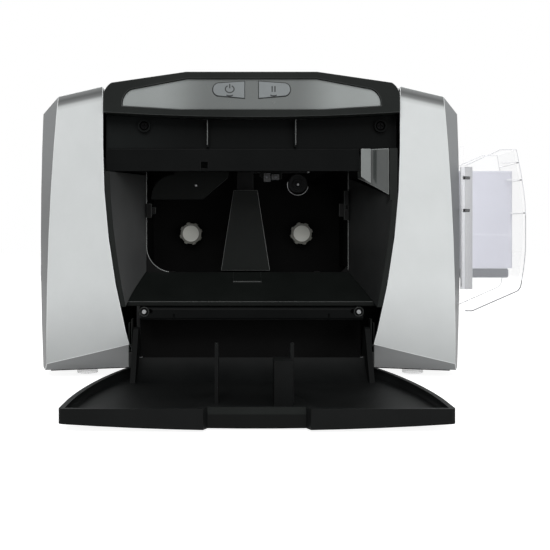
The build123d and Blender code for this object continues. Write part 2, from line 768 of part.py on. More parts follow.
# ---- front cover: a shallow tray with a rim, finger notch, fins, a block, a scoop and two hinge arms ----
def cover_outline(inset):
    """Plan of the open cover; its sides follow the waist that it closes on."""
    far = -cover_reach + inset
    middle = -cover_reach / 2
    near = cover_hinge_edge
    halves = [waist(hinge_z + hinge_y - y) + cover_lap - inset for y in (far, middle, near)]
    with BuildSketch() as outline:
        with BuildLine():
            Line((-halves[0], far), (halves[0], far))
            ThreePointArc((halves[0], far), (halves[1], middle), (halves[2], near))
            Line((halves[2], near), (-halves[2], near))
            ThreePointArc((-halves[2], near), (-halves[1], middle), (-halves[0], far))
        make_face()
    return outline.sketch


def cover_block(inset, lift):
    """The cover's outline with its crowned outer face, lifted, with the hinge line at x = y = 0."""
    half = opening_half_width + cover_lap
    low = cover_bottom + lift
    with BuildPart() as solid:
        with BuildSketch():
            add(cover_outline(inset))
        extrude(amount=cover_bottom + cover_height + (10 if inset else 0))
        with BuildSketch(Plane.XZ):
            with BuildLine():
                ThreePointArc((-half, low + cover_crown), (0, low), (half, low + cover_crown))
                Polyline((half, low + cover_crown), (half, 60), (-half, 60), (-half, low + cover_crown))
            make_face()
        extrude(amount=cover_reach + 5, both=True, mode=Mode.INTERSECT)
    return solid.part


cover_top = cover_bottom + cover_height
arm_reach = arm_inner_x + arm_thickness
floor_z = cover_bottom + cover_floor
cover_skin = cover_block(0, 0)
cover_inside = cover_block(cover_rim, cover_floor)
with BuildPart(floor) as front_cover:
    add(cover_skin)
    fillet(front_cover.edges().filter_by(Axis.Z).group_by(Axis.Y)[0], 3.0)
    add(cover_inside, mode=Mode.SUBTRACT)
    block((-arm_reach, arm_reach), (-cover_rim - 4, 0), (floor_z + 1, cover_top + 1), Mode.SUBTRACT)
    # finger notch in the far edge, with a wall behind it
    far_edge = -cover_reach
    block((-notch_half_width - 3, notch_half_width + 3), (far_edge + 3, far_edge + notch_set_back + 3),
          (cover_bottom + 1, cover_top))
    with BuildSketch(floor):
        Polygon(
            [(-notch_half_width - 1.5, far_edge - 1), (notch_half_width + 1.5, far_edge - 1)]
            + [(notch_half_width - 1.5, far_edge + notch_set_back)]
            + [(-notch_half_width + 1.5, far_edge + notch_set_back)],
            align=None,
        )
    extrude(amount=30, mode=Mode.SUBTRACT)
    # scoop that curls the cover's inner face up towards the hinge
    with BuildSketch(side.offset(-arm_reach + 1)):
        with BuildLine():
            scoop_z = floor_z + scoop_radius
            inner = CenterArc((scoop_start, scoop_z), scoop_radius, -90, 50)
            outer = CenterArc((scoop_start, scoop_z), scoop_radius + cover_floor, -90, 50)
            Line(inner @ 0, outer @ 0)
            Line(inner @ 1, outer @ 1)
        make_face()
    extrude(amount=2 * arm_reach - 2)
    # hinge arms
    for x in (-arm_inner_x - arm_thickness, arm_inner_x):
        with BuildSketch(side.offset(x)):
            Polygon(
                [(-36, floor_z), (-8, arm_top), (1.5, arm_top), (13, hinge_z + 2.5), (12, hinge_z - 6)]
                + [(4, hinge_z - 9), (-8, floor_z - 1)],
                align=None,
            )
        extrude(amount=arm_thickness)
    fillet(front_cover.edges().filter_by(Axis.X).group_by(Axis.Z)[-1], 2.5)
    for hand in (-1, 1):
        inner, outer = sorted((hand * (arm_inner_x - 1), hand * (arm_reach + 1)))
        bar_along_x(hinge_y, hinge_z, pin_radius + running_gap, (inner, outer), Mode.SUBTRACT)
    # two fins and a block that hold a ribbon cartridge in when the cover is shut
    for x in (-fin_x - fin_thickness / 2, fin_x - fin_thickness / 2):
        with BuildSketch(side.offset(x)):
            Polygon(
                [(-64, floor_z - 1), (-76, fin_height - 4), (-104, floor_z + fin_height)]
                + [(-108, floor_z + fin_height), (-111, floor_z - 1)],
                align=None,
            )
        extrude(amount=fin_thickness)
    block((12.8, fin_x - fin_thickness / 2 + 0.5), (-125, -100), (floor_z - 1, 35))
front_cover.part.label = "front_cover"
export_step(front_cover.part, "parts/front_cover.step")

# ---- bay frame: the plate around the mouth of the ribbon bay ----
frame_half = opening_low_half + 8.0
frame_bottom = bay_bottom - 21.0
frame_back = bay_front + plate_thickness
with BuildPart(floor) as bay_frame:
    block((-frame_half, frame_half), (bay_front, frame_back), (frame_bottom, bay_top + plate_thickness))
    with BuildSketch(front.offset(-bay_front)):
        with BuildLine():
            arc_middle = bay_corner * (1 - math.sqrt(0.5))
            Polyline((bay_left + bay_corner, bay_bottom), (bay_right - 6, bay_bottom),
                     (bay_right, bay_bottom + 6), (bay_right, bay_top), (bay_left, bay_top),
                     (bay_left, bay_bottom + bay_corner))
            ThreePointArc((bay_left, bay_bottom + bay_corner),
                          (bay_left + arc_middle, bay_bottom + arc_middle),
                          (bay_left + bay_corner, bay_bottom))
        make_face()
    extrude(amount=-plate_thickness, mode=Mode.SUBTRACT)
bay_frame.part.label = "bay_frame"
export_step(bay_frame.part, "parts/bay_frame.step")

# ---- two small clips that hold a ribbon cartridge at the bay's sides ----
with BuildPart(floor) as ribbon_clips:
    left_end = bay_left + seam
    block((left_end, left_end + 4.5), (bay_front - 6, bay_front), (hub_z + 13.2, hub_z + 25.2))
    block((left_end + 4.5, left_end + 8), (bay_front - 5, bay_front - 2), (hub_z + 16.2, hub_z + 22.2))
    right_end = bay_right - seam
    block((right_end - 4, right_end), (bay_front - 6, bay_front), (hub_z + 11.2, hub_z + 36.2))
    block((right_end - 8, right_end - 4), (bay_front - 5, bay_front - 2), (hub_z + 14.2, hub_z + 25.2))
    block((right_end - 2, right_end + 1), (bay_front - 6, bay_front - 4), (hub_z + 20.2, hub_z + 24.2),
          Mode.SUBTRACT)
ribbon_clips.part.label = "ribbon_clips"
export_step(ribbon_clips.part, "parts/ribbon_clips.step")

# ---- card path: three rollers and their gears, in the rail, the bay moulding and the steel plate ----
roller_pitch = gear_module * (roller_teeth + idler_teeth)
feed_x = platen_x + roller_pitch
exit_x = platen_x - roller_pitch
idler_offset = roller_pitch / 2
roller_points = [exit_x, platen_x, feed_x]
bay_wall_back = bay_back + plate_thickness
mech_back = mech_y + mech_thickness
shaft_end = mech_back - 0.2
gear_back = gear_y + gear_width
rail_y = frame_back + seam
side_wall_bottom = bay_bottom + 4.0
plate_half = opening_low_half + 12.0
plate_top = bay_top + 8.0
core_half = card_width / 2 + 2.0
hole_radius = shaft_radius + running_gap
drive_motor_z = roller_z - gear_module * (roller_teeth + pinion_teeth) / 2
ribbon_motor_z = hub_z + gear_module * (hub_gear_teeth + pinion_teeth) / 2

with BuildPart(floor) as bay_moulding:
    block((-frame_half, frame_half), (bay_back, bay_wall_back), (frame_bottom - 4, bay_top + plate_thickness))
    for x in (bay_left - plate_thickness, bay_right):
        block((x, x + plate_thickness), (frame_back, bay_back), (side_wall_bottom, bay_top))
    block((bay_left - plate_thickness, bay_right + plate_thickness), (frame_back, bay_back),
          (bay_top, bay_top + plate_thickness))
    for x in roller_points:
        bar_along_y(x, roller_z, bushing_radius, (bay_back - 1, bay_wall_back + 1), Mode.SUBTRACT)
    for x in (takeup_x, supply_x):
        bar_along_y(x, hub_z, hole_radius, (bay_back - 1, bay_wall_back + 1), Mode.SUBTRACT)
    bar_along_y(cam_x, cam_z, hole_radius, (bay_back - 1, bay_wall_back + 1), Mode.SUBTRACT)
    for x in (platen_x - rod_spacing / 2, platen_x + rod_spacing / 2):
        with Locations((x, rod_y, bay_top)):
            Cylinder(rod_radius, 20, mode=Mode.SUBTRACT)
bay_moulding.part.label = "bay_moulding"
export_step(bay_moulding.part, "parts/bay_moulding.step")

with BuildPart(floor) as front_rail:
    block((-frame_half, frame_half), (rail_y, rail_y + mech_thickness), (frame_bottom, bay_bottom - 3))
    for x in roller_points:
        bar_along_y(x, roller_z, bushing_radius, (rail_y - 1, rail_y + 4), Mode.SUBTRACT)
front_rail.part.label = "front_rail"
export_step(front_rail.part, "parts/front_rail.step")

bushing_length = 4.0
with BuildPart(floor) as roller_bushings:
    for x in roller_points:
        for y in (rail_y, bay_wall_back - bushing_length):
            bar_along_y(x, roller_z, bushing_radius, (y, y + bushing_length))
            bar_along_y(x, roller_z, hole_radius, (y - 1, y + bushing_length + 1), Mode.SUBTRACT)
roller_bushings.part.label = "roller_bushings"
export_step(roller_bushings.part, "parts/roller_bushings.step")

with BuildPart(floor) as mech_plate:
    block((-plate_half, plate_half), (mech_y, mech_back), (pan_top, plate_top))
    block((-plate_half, plate_half), (mech_y, mech_y + 16), (pan_top, pan_top + mech_thickness))
    for x in (platen_x - idler_offset, platen_x + idler_offset):
        bar_along_y(x, roller_z, shaft_radius, (gear_y - 1, mech_y))
    for x in roller_points:
        bar_along_y(x, roller_z, hole_radius, (mech_y - 1, mech_back + 1), Mode.SUBTRACT)
    for x in (takeup_x, supply_x):
        bar_along_y(x, hub_z, hole_radius, (mech_y - 1, mech_back + 1), Mode.SUBTRACT)
    for x, z in ((cam_x, cam_z), (platen_x, drive_motor_z), (takeup_x, ribbon_motor_z)):
        bar_along_y(x, z, 4.5, (mech_y - 1, mech_back + 1), Mode.SUBTRACT)
mech_plate.part.label = "mech_plate"
export_step(mech_plate.part, "parts/mech_plate.step")


def roller(x):
    """A rubber-covered roller on its stepped shaft."""
    with BuildPart(floor) as piece:
        bar_along_y(x, roller_z, shaft_radius, (rail_y + 0.1, shaft_end))
        bar_along_y(x, roller_z, roller_radius, (card_y - roller_rubber / 2, card_y + roller_rubber / 2))
        bar_along_y(x, roller_z, shaft_radius + 1.0, (card_y - core_half, card_y + core_half))
    return piece


def spur_gear(x, z, teeth, bore, phase):
    """A spur gear behind the bay, with a hub, on a shaft of radius bore."""
    with BuildPart(floor) as piece:
        with BuildSketch(facing_front(x, gear_y, z)):
            Polygon(gear_outline(teeth, phase), align=None)
        extrude(amount=-gear_width)
        bar_along_y(x, z, bore + 2.5, (gear_back, gear_back + 1.5))
        bar_along_y(x, z, bore, (gear_y - 1, gear_back + 3), Mode.SUBTRACT)
    return piece


platen_roller = roller(platen_x)
platen_roller.part.label = "platen_roller"
export_step(platen_roller.part, "parts/platen_roller.step")
platen_gear = spur_gear(platen_x, roller_z, roller_teeth, shaft_radius, 0)
platen_gear.part.label = "platen_gear"
export_step(platen_gear.part, "parts/platen_gear.step")

feed_roller = roller(feed_x)
feed_roller.part.label = "feed_roller"
export_step(feed_roller.part, "parts/feed_roller.step")
feed_gear = spur_gear(feed_x, roller_z, roller_teeth, shaft_radius, 0)
feed_gear.part.label = "feed_gear"
export_step(feed_gear.part, "parts/feed_gear.step")

exit_roller = roller(exit_x)
exit_roller.part.label = "exit_roller"
export_step(exit_roller.part, "parts/exit_roller.step")
exit_gear = spur_gear(exit_x, roller_z, roller_teeth, shaft_radius, 0)
exit_gear.part.label = "exit_gear"
export_step(exit_gear.part, "parts/exit_gear.step")

feed_idler = spur_gear(platen_x + idler_offset, roller_z, idler_teeth, hole_radius, 0.5)
feed_idler.part.label = "feed_idler"
export_step(feed_idler.part, "parts/feed_idler.step")
exit_idler = spur_gear(platen_x - idler_offset, roller_z, idler_teeth, hole_radius, 0.5)
exit_idler.part.label = "exit_idler"
export_step(exit_idler.part, "parts/exit_idler.step")


def pinion(x, z):
    """A motor pinion on its own shaft, which runs back into the motor."""
    with BuildPart(floor) as piece:
        with BuildSketch(facing_front(x, gear_y, z)):
            Polygon(gear_outline(pinion_teeth, 0.5), align=None)
        extrude(amount=-gear_width)
        bar_along_y(x, z, motor_shaft_radius, (gear_y, mech_back + 10))
    return piece


def stepper_motor(x, z, y, bore):
    """A square stepper motor with chamfered corners and a bore for the shaft that it turns."""
    with BuildPart(floor) as piece:
        block((x - motor_half, x + motor_half), (y, y + motor_length), (z - motor_half, z + motor_half))
        chamfer(piece.edges().filter_by(Axis.Y), 3.5)
        bar_along_y(x, z, bore, (y - 1, y + 12), Mode.SUBTRACT)
    return piece


drive_pinion = pinion(platen_x, drive_motor_z)
drive_pinion.part.label = "drive_pinion"
export_step(drive_pinion.part, "parts/drive_pinion.step")
drive_motor = stepper_motor(platen_x, drive_motor_z, mech_back, motor_shaft_radius + running_gap)
drive_motor.part.label = "drive_motor"
export_step(drive_motor.part, "parts/drive_motor.step")

# ---- ribbon hubs: pale toothed spindles on shafts through the bay's back wall ----
hub_front = bay_back - hub_reach


def ribbon_hub(x):
    """A spindle with drive teeth round it and a plain disc in front."""
    with BuildPart(floor) as piece:
        bar_along_y(x, hub_z, shaft_radius, (hub_front + 5, shaft_end))
        bar_along_y(x, hub_z, hub_disc_radius, (hub_front, hub_front + 8))
        bar_along_y(x, hub_z, hub_radius - 1.6, (hub_front + 2.5, bay_back - 0.8))
        for tooth in range(hub_teeth):
            angle = math.radians(360 / hub_teeth * (tooth + 0.35))
            reach = hub_radius - 2.2
            with Locations((x + reach * math.cos(angle), bay_back - 6.9, hub_z + reach * math.sin(angle))):
                Box(3.2, 10.5, 3.2, rotation=(0, -math.degrees(angle), 0))
    return piece


takeup_hub = ribbon_hub(takeup_x)
takeup_hub.part.label = "takeup_hub"
export_step(takeup_hub.part, "parts/takeup_hub.step")
takeup_gear = spur_gear(takeup_x, hub_z, hub_gear_teeth, shaft_radius, 0)
takeup_gear.part.label = "takeup_gear"
export_step(takeup_gear.part, "parts/takeup_gear.step")
ribbon_pinion = pinion(takeup_x, ribbon_motor_z)
ribbon_pinion.part.label = "ribbon_pinion"
export_step(ribbon_pinion.part, "parts/ribbon_pinion.step")
ribbon_motor = stepper_motor(takeup_x, ribbon_motor_z, mech_back, motor_shaft_radius + running_gap)
ribbon_motor.part.label = "ribbon_motor"
export_step(ribbon_motor.part, "parts/ribbon_motor.step")

supply_hub = ribbon_hub(supply_x)
supply_hub.part.label = "supply_hub"
export_step(supply_hub.part, "parts/supply_hub.step")
encoder_radius = 18.0
with BuildPart(floor) as encoder_wheel:
    bar_along_y(supply_x, hub_z, encoder_radius, (gear_y + 2, gear_y + 3.2))
    bar_along_y(supply_x, hub_z, shaft_radius + 3, (gear_y, gear_back))
    bar_along_y(supply_x, hub_z, shaft_radius, (gear_y - 1, gear_back + 1), Mode.SUBTRACT)
    for slot in range(24):
        angle = math.radians(15 * slot)
        reach = encoder_radius - 3.0
        with Locations((supply_x + reach * math.cos(angle), gear_y + 2.6, hub_z + reach * math.sin(angle))):
            Box(3.6, 4, 1.6, rotation=(0, -math.degrees(angle), 0), mode=Mode.SUBTRACT)
encoder_wheel.part.label = "encoder_wheel"
export_step(encoder_wheel.part, "parts/encoder_wheel.step")

# ---- print head: it hangs on two rods, and a cam lifts it off the card ----
head_back = bay_back - 3.0
head_wall = 2.5


def head_profile(inset):
    """Front view of the tapered head cover, drawn in by inset."""
    with BuildSketch() as outline:
        Polygon(
            [(platen_x - head_half_bottom + inset, head_bottom - (5 if inset else 0))]
            + [(platen_x + head_half_bottom - inset, head_bottom - (5 if inset else 0))]
            + [(platen_x + head_half_top - inset, head_top - inset)]
            + [(platen_x - head_half_top + inset, head_top - inset)],
            align=None,
        )
    return outline.sketch


cam_y = rod_y - 13.0
arm_width = 6.0
arm_bottom = cam_z + cam_high + cam_gap
arm_height = 3.0
rod_points = (platen_x - rod_spacing / 2, platen_x + rod_spacing / 2)
with BuildPart(floor) as head_cover:
    with BuildSketch(front.offset(-head_front)):
        add(head_profile(0))
    extrude(amount=-(head_back - head_front))
    with BuildSketch(front.offset(-(head_front + head_wall))):
        add(head_profile(head_wall))
    extrude(amount=-(head_back - head_front - 2 * head_wall), mode=Mode.SUBTRACT)
    block((platen_x - 9, platen_x + 9), (cam_y - 1, rod_y + 8), (head_top - 8, head_top + 1), Mode.SUBTRACT)
head_cover.part.label = "head_cover"
export_step(head_cover.part, "parts/head_cover.step")

heater_z = roller_z + roller_radius + card_thickness + 0.04 + head_lift
with BuildPart(floor) as printhead:
    block((platen_x - 10, platen_x + 10), (head_front + head_wall, head_front + head_wall + card_width - 2),
          (heater_z + 2, heater_z + 12))
    block((platen_x - 3, platen_x + 3), (card_y - card_width / 2 + 1, card_y + card_width / 2 - 3),
          (heater_z, heater_z + 2))
    for x in range(-8, 9, 4):
        block((platen_x + x - 0.8, platen_x + x + 0.8), (head_front + 5, head_front + card_width - 4),
              (heater_z + 6, heater_z + 13), Mode.SUBTRACT)
printhead.part.label = "printhead"
export_step(printhead.part, "parts/printhead.step")

stem_half = 7.5
carrier_z = (head_top - 39.0, head_top - 11.0)
rod_low = carrier_z[0] - 14.0
with BuildPart(floor) as head_arm:
    block((platen_x - 9, platen_x + 9), (rod_y - 7, rod_y + 7), carrier_z)
    block((platen_x - stem_half, platen_x + stem_half), (cam_y, rod_y - 7),
          (heater_z + 12, arm_bottom + arm_height))
    block((platen_x - stem_half, platen_x + stem_half), (cam_y, rod_y - 4), carrier_z)
    block((platen_x - stem_half, cam_x + 11), (cam_y, cam_y + arm_width),
          (arm_bottom, arm_bottom + arm_height))
    for x in rod_points:
        with Locations((x, rod_y, sum(carrier_z) / 2)):
            Cylinder(rod_radius + running_gap, 40, mode=Mode.SUBTRACT)
head_arm.part.label = "head_arm"
export_step(head_arm.part, "parts/head_arm.step")

with BuildPart(floor) as guide_rods:
    for x in rod_points:
        with Locations((x, rod_y, (rod_low + bay_top + plate_thickness) / 2)):
            Cylinder(rod_radius, bay_top + plate_thickness - rod_low)
guide_rods.part.label = "guide_rods"
export_step(guide_rods.part, "parts/guide_rods.step")

with BuildPart(floor) as head_cam:
    cam_points = []
    for step in range(48):
        turn = 360 * step / 48
        share = abs(turn - 180) / 180
        radius = cam_high - head_lift * (1 - share)
        angle = math.radians(turn + 90)
        cam_points.append((radius * math.cos(angle), radius * math.sin(angle)))
    with BuildSketch(facing_front(cam_x, cam_y, cam_z)):
        Polygon(cam_points, align=None)
    extrude(amount=-arm_width)
    bar_along_y(cam_x, cam_z, 5.0, (cam_y - 1.5, cam_y))
    bar_along_y(cam_x, cam_z, shaft_radius, (cam_y - 3, mech_back + 10))
head_cam.part.label = "head_cam"
export_step(head_cam.part, "parts/head_cam.step")

head_motor = stepper_motor(cam_x, cam_z, mech_back, hole_radius)
head_motor.part.label = "head_motor"
export_step(head_motor.part, "parts/head_motor.step")

# ---- main board with its chips, and the two sockets that reach the rear cover ----
board_y = body_depth - 32.0
board_top = 130.0
board_half_width = 110.0
with BuildPart(floor) as main_board:
    block((-board_half_width, board_half_width), (board_y, board_y + 1.6), (pan_top + 0.3, board_top))
    for x, z, width, height in ((-60, 90, 28, 28), (0, 70, 18, 12), (-20, 40, 12, 20), (40, 100, 22, 14)):
        block((x - width / 2, x + width / 2), (board_y - 2.4, board_y), (z - height / 2, z + height / 2))
    for x in (-90, -76, 70, 84):
        bar_along_y(x, 60, 4.0, (board_y - 12, board_y))
main_board.part.label = "main_board"
export_step(main_board.part, "parts/main_board.step")

power_radius = 5.5
socket_front = board_y + 1.6
socket_back = body_depth - 0.2
with BuildPart(floor) as rear_sockets:
    block((power_x - 7.6, power_x + 7.6), (socket_front, socket_back), (socket_z - 7.6, socket_z + 7.6))
    bar_along_y(power_x, socket_z, power_radius, (body_depth - 12, body_depth + 1), Mode.SUBTRACT)
    block((usb_x - 6.6, usb_x + 6.6), (socket_front, socket_back), (socket_z - 6.6, socket_z + 6.6))
    block((usb_x - 4.2, usb_x + 4.2), (body_depth - 12, body_depth), (socket_z - 3.9, socket_z + 3.9),
          Mode.SUBTRACT)
rear_sockets.part.label = "rear_sockets"
export_step(rear_sockets.part, "parts/rear_sockets.step")

# ---- exit chute on the left, from the exit roller out through the left shell ----
chute_end = -(body_half_width + 1.0)
chute_start = exit_x - 22.0
with BuildPart(floor) as exit_chute:
    block((chute_end, chute_start), (card_y - chute_half, card_y + chute_half),
          (chute_bottom, chute_bottom + 2))
    for y in (card_y - chute_half, card_y + chute_half - 2):
        block((chute_end, chute_start), (y, y + 2), (chute_bottom, chute_top))
    block((chute_start - 3, chute_start), (card_y - chute_half, bay_back), (chute_bottom - 6, chute_bottom))
exit_chute.part.label = "exit_chute"
export_step(exit_chute.part, "parts/exit_chute.step")

# ---- card hopper: frame inside the right shell, clear cover outside, guide column, tray and cards ----
pick_x = stack_left + 12.0
pick_radius = 8.0
pick_z = stack_bottom - 0.3 - pick_radius
frame_left = stack_left - 4.4
frame_right = body_half_width + 4.6
cheek_top = hopper_hinge_z + 12.0  # above it the frame's cheeks reach out to its mouth
ear_x = (body_half_width - 8.4, body_half_width - 0.4)
ear_top = hopper_hinge_z + 5.0
ear_inner = hopper_front + hopper_wall + 0.3
ear_width = 1.4
with BuildPart(floor) as hopper_frame:
    block((frame_left, frame_left + hopper_wall), (hopper_front, hopper_back), (frame_low, frame_high))
    for y in (hopper_front, hopper_back - hopper_wall):
        block((frame_left, frame_right), (y, y + hopper_wall), (cheek_top, frame_high))
        block((frame_left, body_half_width), (y, y + hopper_wall), (frame_low, cheek_top))
    block((frame_left, body_half_width + 1.6), (hopper_front, hopper_back),
          (frame_low, frame_low + hopper_wall))
    for y in (ear_inner, 2 * card_y - ear_inner - ear_width):
        block(ear_x, (y, y + ear_width), (frame_low, ear_top))
        block((ear_x[0], hopper_hinge_x), (y, y + ear_width), (hopper_hinge_z - 2, ear_top))
        bar_along_y(hopper_hinge_x, hopper_hinge_z, 5.0, (y, y + ear_width))
        bar_along_y(hopper_hinge_x, hopper_hinge_z, 2.0 + running_gap, (y - 1, y + ear_width + 1),
                    Mode.SUBTRACT)
    block(ear_x, (hopper_front, ear_inner + ear_width), (frame_low, frame_low + 6))
    block(ear_x, (2 * card_y - ear_inner - ear_width, hopper_back), (frame_low, frame_low + 6))
    block((frame_left - 1, frame_left + 3), (card_y - core_half, card_y + core_half),
          (stack_bottom - 5, stack_bottom + 4), Mode.SUBTRACT)
    bar_along_y(pick_x, pick_z, hole_radius, (hopper_front - 1, hopper_back + 1), Mode.SUBTRACT)
hopper_frame.part.label = "hopper_frame"
export_step(hopper_frame.part, "parts/hopper_frame.step")


hopper_low = hopper_hinge_z - 8.4


def hopper_outline(inset):
    """Front view of the clear cover, drawn in by inset at its outer and lower edges."""
    reach = hopper_reach - inset
    left = frame_right + 1.0
    low = hopper_low + inset
    upper = (reach - 4.6, hopper_top - 17.6)
    lower = (reach - 4.5, low + 20.4)
    with BuildSketch() as outline:
        with BuildLine():
            Polyline((left, hopper_top - 13.6), (left + 30, hopper_top), (reach - 8, hopper_top), upper)
            ThreePointArc(upper, (reach, hopper_top - 55.6), lower)
            Polyline(lower, (reach - 7, low + 17.1), (hopper_hinge_x, low), (left, low),
                     (left, hopper_top - 13.6))
        make_face()
    return outline.sketch


with BuildPart(floor) as hopper_cover:
    with BuildSketch(front.offset(-hopper_front)):
        add(hopper_outline(0))
    extrude(amount=-(hopper_back - hopper_front))
    with BuildSketch(front.offset(-(hopper_front + hopper_wall))):
        add(hopper_outline(hopper_wall))
    extrude(amount=-(hopper_back - hopper_front - 2 * hopper_wall), mode=Mode.SUBTRACT)
    inner_y = (hopper_front + hopper_wall, hopper_back - hopper_wall)
    block((frame_right, hopper_reach - 9), inner_y, (hopper_top - 31, hopper_top + 8), Mode.SUBTRACT)
    block((frame_right, hopper_hinge_x), inner_y, (hopper_low - 8, hopper_top + 8), Mode.SUBTRACT)
    for y in (hopper_front + 1, hopper_back - hopper_wall - ear_width - 0.3):
        bar_along_y(hopper_hinge_x, hopper_hinge_z, 2.0, (y, y + ear_width + 1.3))
hopper_cover.part.label = "hopper_cover"
export_step(hopper_cover.part, "parts/hopper_cover.step")

column_z = (hopper_hinge_z + 10, hopper_top - 14.6)
with BuildPart(floor) as guide_column:
    block((column_x, column_x + column_width), (ear_inner, ear_inner + ear_width), column_z)
    block((column_x, column_x + 1.5), (hopper_front + hopper_wall, ear_inner + ear_width), column_z)
    for z in (column_z[1] - 39, column_z[1] - 11):
        block((column_x + 2, column_x + column_width - 2), (hopper_front, hopper_front + 10), (z, z + 3),
              Mode.SUBTRACT)
guide_column.part.label = "guide_column"
export_step(guide_column.part, "parts/guide_column.step")

with BuildPart(floor) as card_tray:
    block((frame_left + hopper_wall, stack_left + card_length - 3.7),
          (card_y - card_width / 2, card_y + card_width / 2), (stack_bottom - tray_thickness, stack_bottom))
    block((pick_x - 10, pick_x + 10), (card_y - 18, card_y + 18), (pick_z - 20, stack_bottom + 10),
          Mode.SUBTRACT)
    bar_along_y(pick_x, pick_z, shaft_radius + 1.0, (card_y - 40, card_y + 40), Mode.SUBTRACT)
    fillet(card_tray.edges().filter_by(Axis.Y).group_by(Axis.X)[-1], 2.0)
card_tray.part.label = "card_tray"
export_step(card_tray.part, "parts/card_tray.step")

with BuildPart(floor) as card_stack:
    block((stack_left, stack_left + card_length), (card_y - card_width / 2, card_y + card_width / 2),
          (stack_bottom, stack_bottom + stack_height))
    fillet(card_stack.edges().filter_by(Axis.Z), 3.18)
card_stack.part.label = "card_stack"
export_step(card_stack.part, "parts/card_stack.step")

pick_motor_y = hopper_back + 0.3
with BuildPart(floor) as pick_roller:
    bar_along_y(pick_x, pick_z, shaft_radius, (hopper_front, pick_motor_y + 10))
    bar_along_y(pick_x, pick_z, pick_radius, (card_y - 15, card_y + 15))
pick_roller.part.label = "pick_roller"
export_step(pick_roller.part, "parts/pick_roller.step")

pick_motor = stepper_motor(pick_x, pick_z, pick_motor_y, hole_radius)
pick_motor.part.label = "pick_motor"
export_step(pick_motor.part, "parts/pick_motor.step")
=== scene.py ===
# A desktop printer for plastic ID cards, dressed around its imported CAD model.
# Metres, +Z up, the printer faces -Y. Each section below is one piece or one group of like pieces.
import json
import math

import bmesh
import bpy
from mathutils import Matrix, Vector


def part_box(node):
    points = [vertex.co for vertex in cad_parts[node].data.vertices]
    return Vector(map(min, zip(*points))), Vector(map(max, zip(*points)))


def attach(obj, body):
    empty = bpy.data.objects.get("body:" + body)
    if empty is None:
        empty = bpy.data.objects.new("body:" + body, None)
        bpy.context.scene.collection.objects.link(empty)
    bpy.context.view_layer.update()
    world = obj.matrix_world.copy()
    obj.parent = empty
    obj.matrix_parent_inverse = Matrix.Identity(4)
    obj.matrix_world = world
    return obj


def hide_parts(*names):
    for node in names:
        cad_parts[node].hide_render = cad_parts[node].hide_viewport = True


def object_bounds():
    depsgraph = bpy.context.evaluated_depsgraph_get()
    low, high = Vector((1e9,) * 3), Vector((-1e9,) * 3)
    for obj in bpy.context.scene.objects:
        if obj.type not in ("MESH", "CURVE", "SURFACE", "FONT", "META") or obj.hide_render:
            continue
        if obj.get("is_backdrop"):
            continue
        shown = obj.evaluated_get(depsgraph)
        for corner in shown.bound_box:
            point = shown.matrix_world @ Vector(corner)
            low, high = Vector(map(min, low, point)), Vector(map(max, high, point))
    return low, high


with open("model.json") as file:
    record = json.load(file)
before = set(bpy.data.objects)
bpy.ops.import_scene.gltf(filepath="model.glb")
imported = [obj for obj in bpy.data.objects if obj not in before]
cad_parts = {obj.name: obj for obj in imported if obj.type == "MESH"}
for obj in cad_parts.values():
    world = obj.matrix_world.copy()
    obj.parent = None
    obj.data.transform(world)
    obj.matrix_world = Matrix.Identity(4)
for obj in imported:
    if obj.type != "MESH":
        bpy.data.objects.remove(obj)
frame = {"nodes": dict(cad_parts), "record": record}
cad_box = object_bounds()
nodes = frame["nodes"]
bodies = frame["record"]["behaviour"]["bodies"]
body_of = {node: body for body, members in bodies.items() for node in members}

# ---- the table and the room ----
# The table is one wide matt sheet. What is seen of it is lifted to white, and the object's shadow stays on it.
scene = bpy.context.scene
scene.view_settings.view_transform = "Standard"


def srgb(red, green, blue):
    """A colour given in the 0-255 values of a screen."""
    channels = [c / 255 for c in (red, green, blue)]
    return tuple(c / 12.92 if c <= 0.04045 else ((c + 0.055) / 1.055) ** 2.4 for c in channels) + (1.0,)


def new_material(name):
    """A material with an empty node tree, the tree and its output."""
    made = bpy.data.materials.new(name)
    made.use_nodes = True
    tree = made.node_tree
    tree.nodes.clear()
    output = tree.nodes.new("ShaderNodeOutputMaterial")
    return made, tree, output


def seen_directly(tree):
    """1 for a camera, glossy or transmitted ray, 0 for light that falls on the object."""
    path = tree.nodes.new("ShaderNodeLightPath")
    first = tree.nodes.new("ShaderNodeMath")
    first.operation = "MAXIMUM"
    tree.links.new(path.outputs["Is Camera Ray"], first.inputs[0])
    tree.links.new(path.outputs["Is Glossy Ray"], first.inputs[1])
    second = tree.nodes.new("ShaderNodeMath")
    second.operation = "MAXIMUM"
    tree.links.new(first.outputs[0], second.inputs[0])
    tree.links.new(path.outputs["Is Transmission Ray"], second.inputs[1])
    return second.outputs[0]


table_reach = 6.0
table_colour = (0.5, 0.5, 0.5, 1.0)
table_lift = 0.91
table_mesh = bpy.data.meshes.new("table")
table_corners = [(-table_reach, -table_reach, 0), (table_reach, -table_reach, 0)]
table_corners += [(table_reach, table_reach, 0), (-table_reach, table_reach, 0)]
table_mesh.from_pydata(table_corners, [], [(0, 1, 2, 3)])
table = bpy.data.objects.new("table", table_mesh)
scene.collection.objects.link(table)
table_finish, tree, output = new_material("table_paper")
paper = tree.nodes.new("ShaderNodeBsdfDiffuse")
paper.inputs["Color"].default_value = table_colour
lift = tree.nodes.new("ShaderNodeEmission")
amount = tree.nodes.new("ShaderNodeMath")
amount.operation = "MULTIPLY"
amount.inputs[1].default_value = table_lift
tree.links.new(seen_directly(tree), amount.inputs[0])
tree.links.new(amount.outputs[0], lift.inputs["Strength"])
both = tree.nodes.new("ShaderNodeAddShader")
tree.links.new(paper.outputs[0], both.inputs[0])
tree.links.new(lift.outputs[0], both.inputs[1])
tree.links.new(both.outputs[0], output.inputs["Surface"])
table_mesh.materials.append(table_finish)
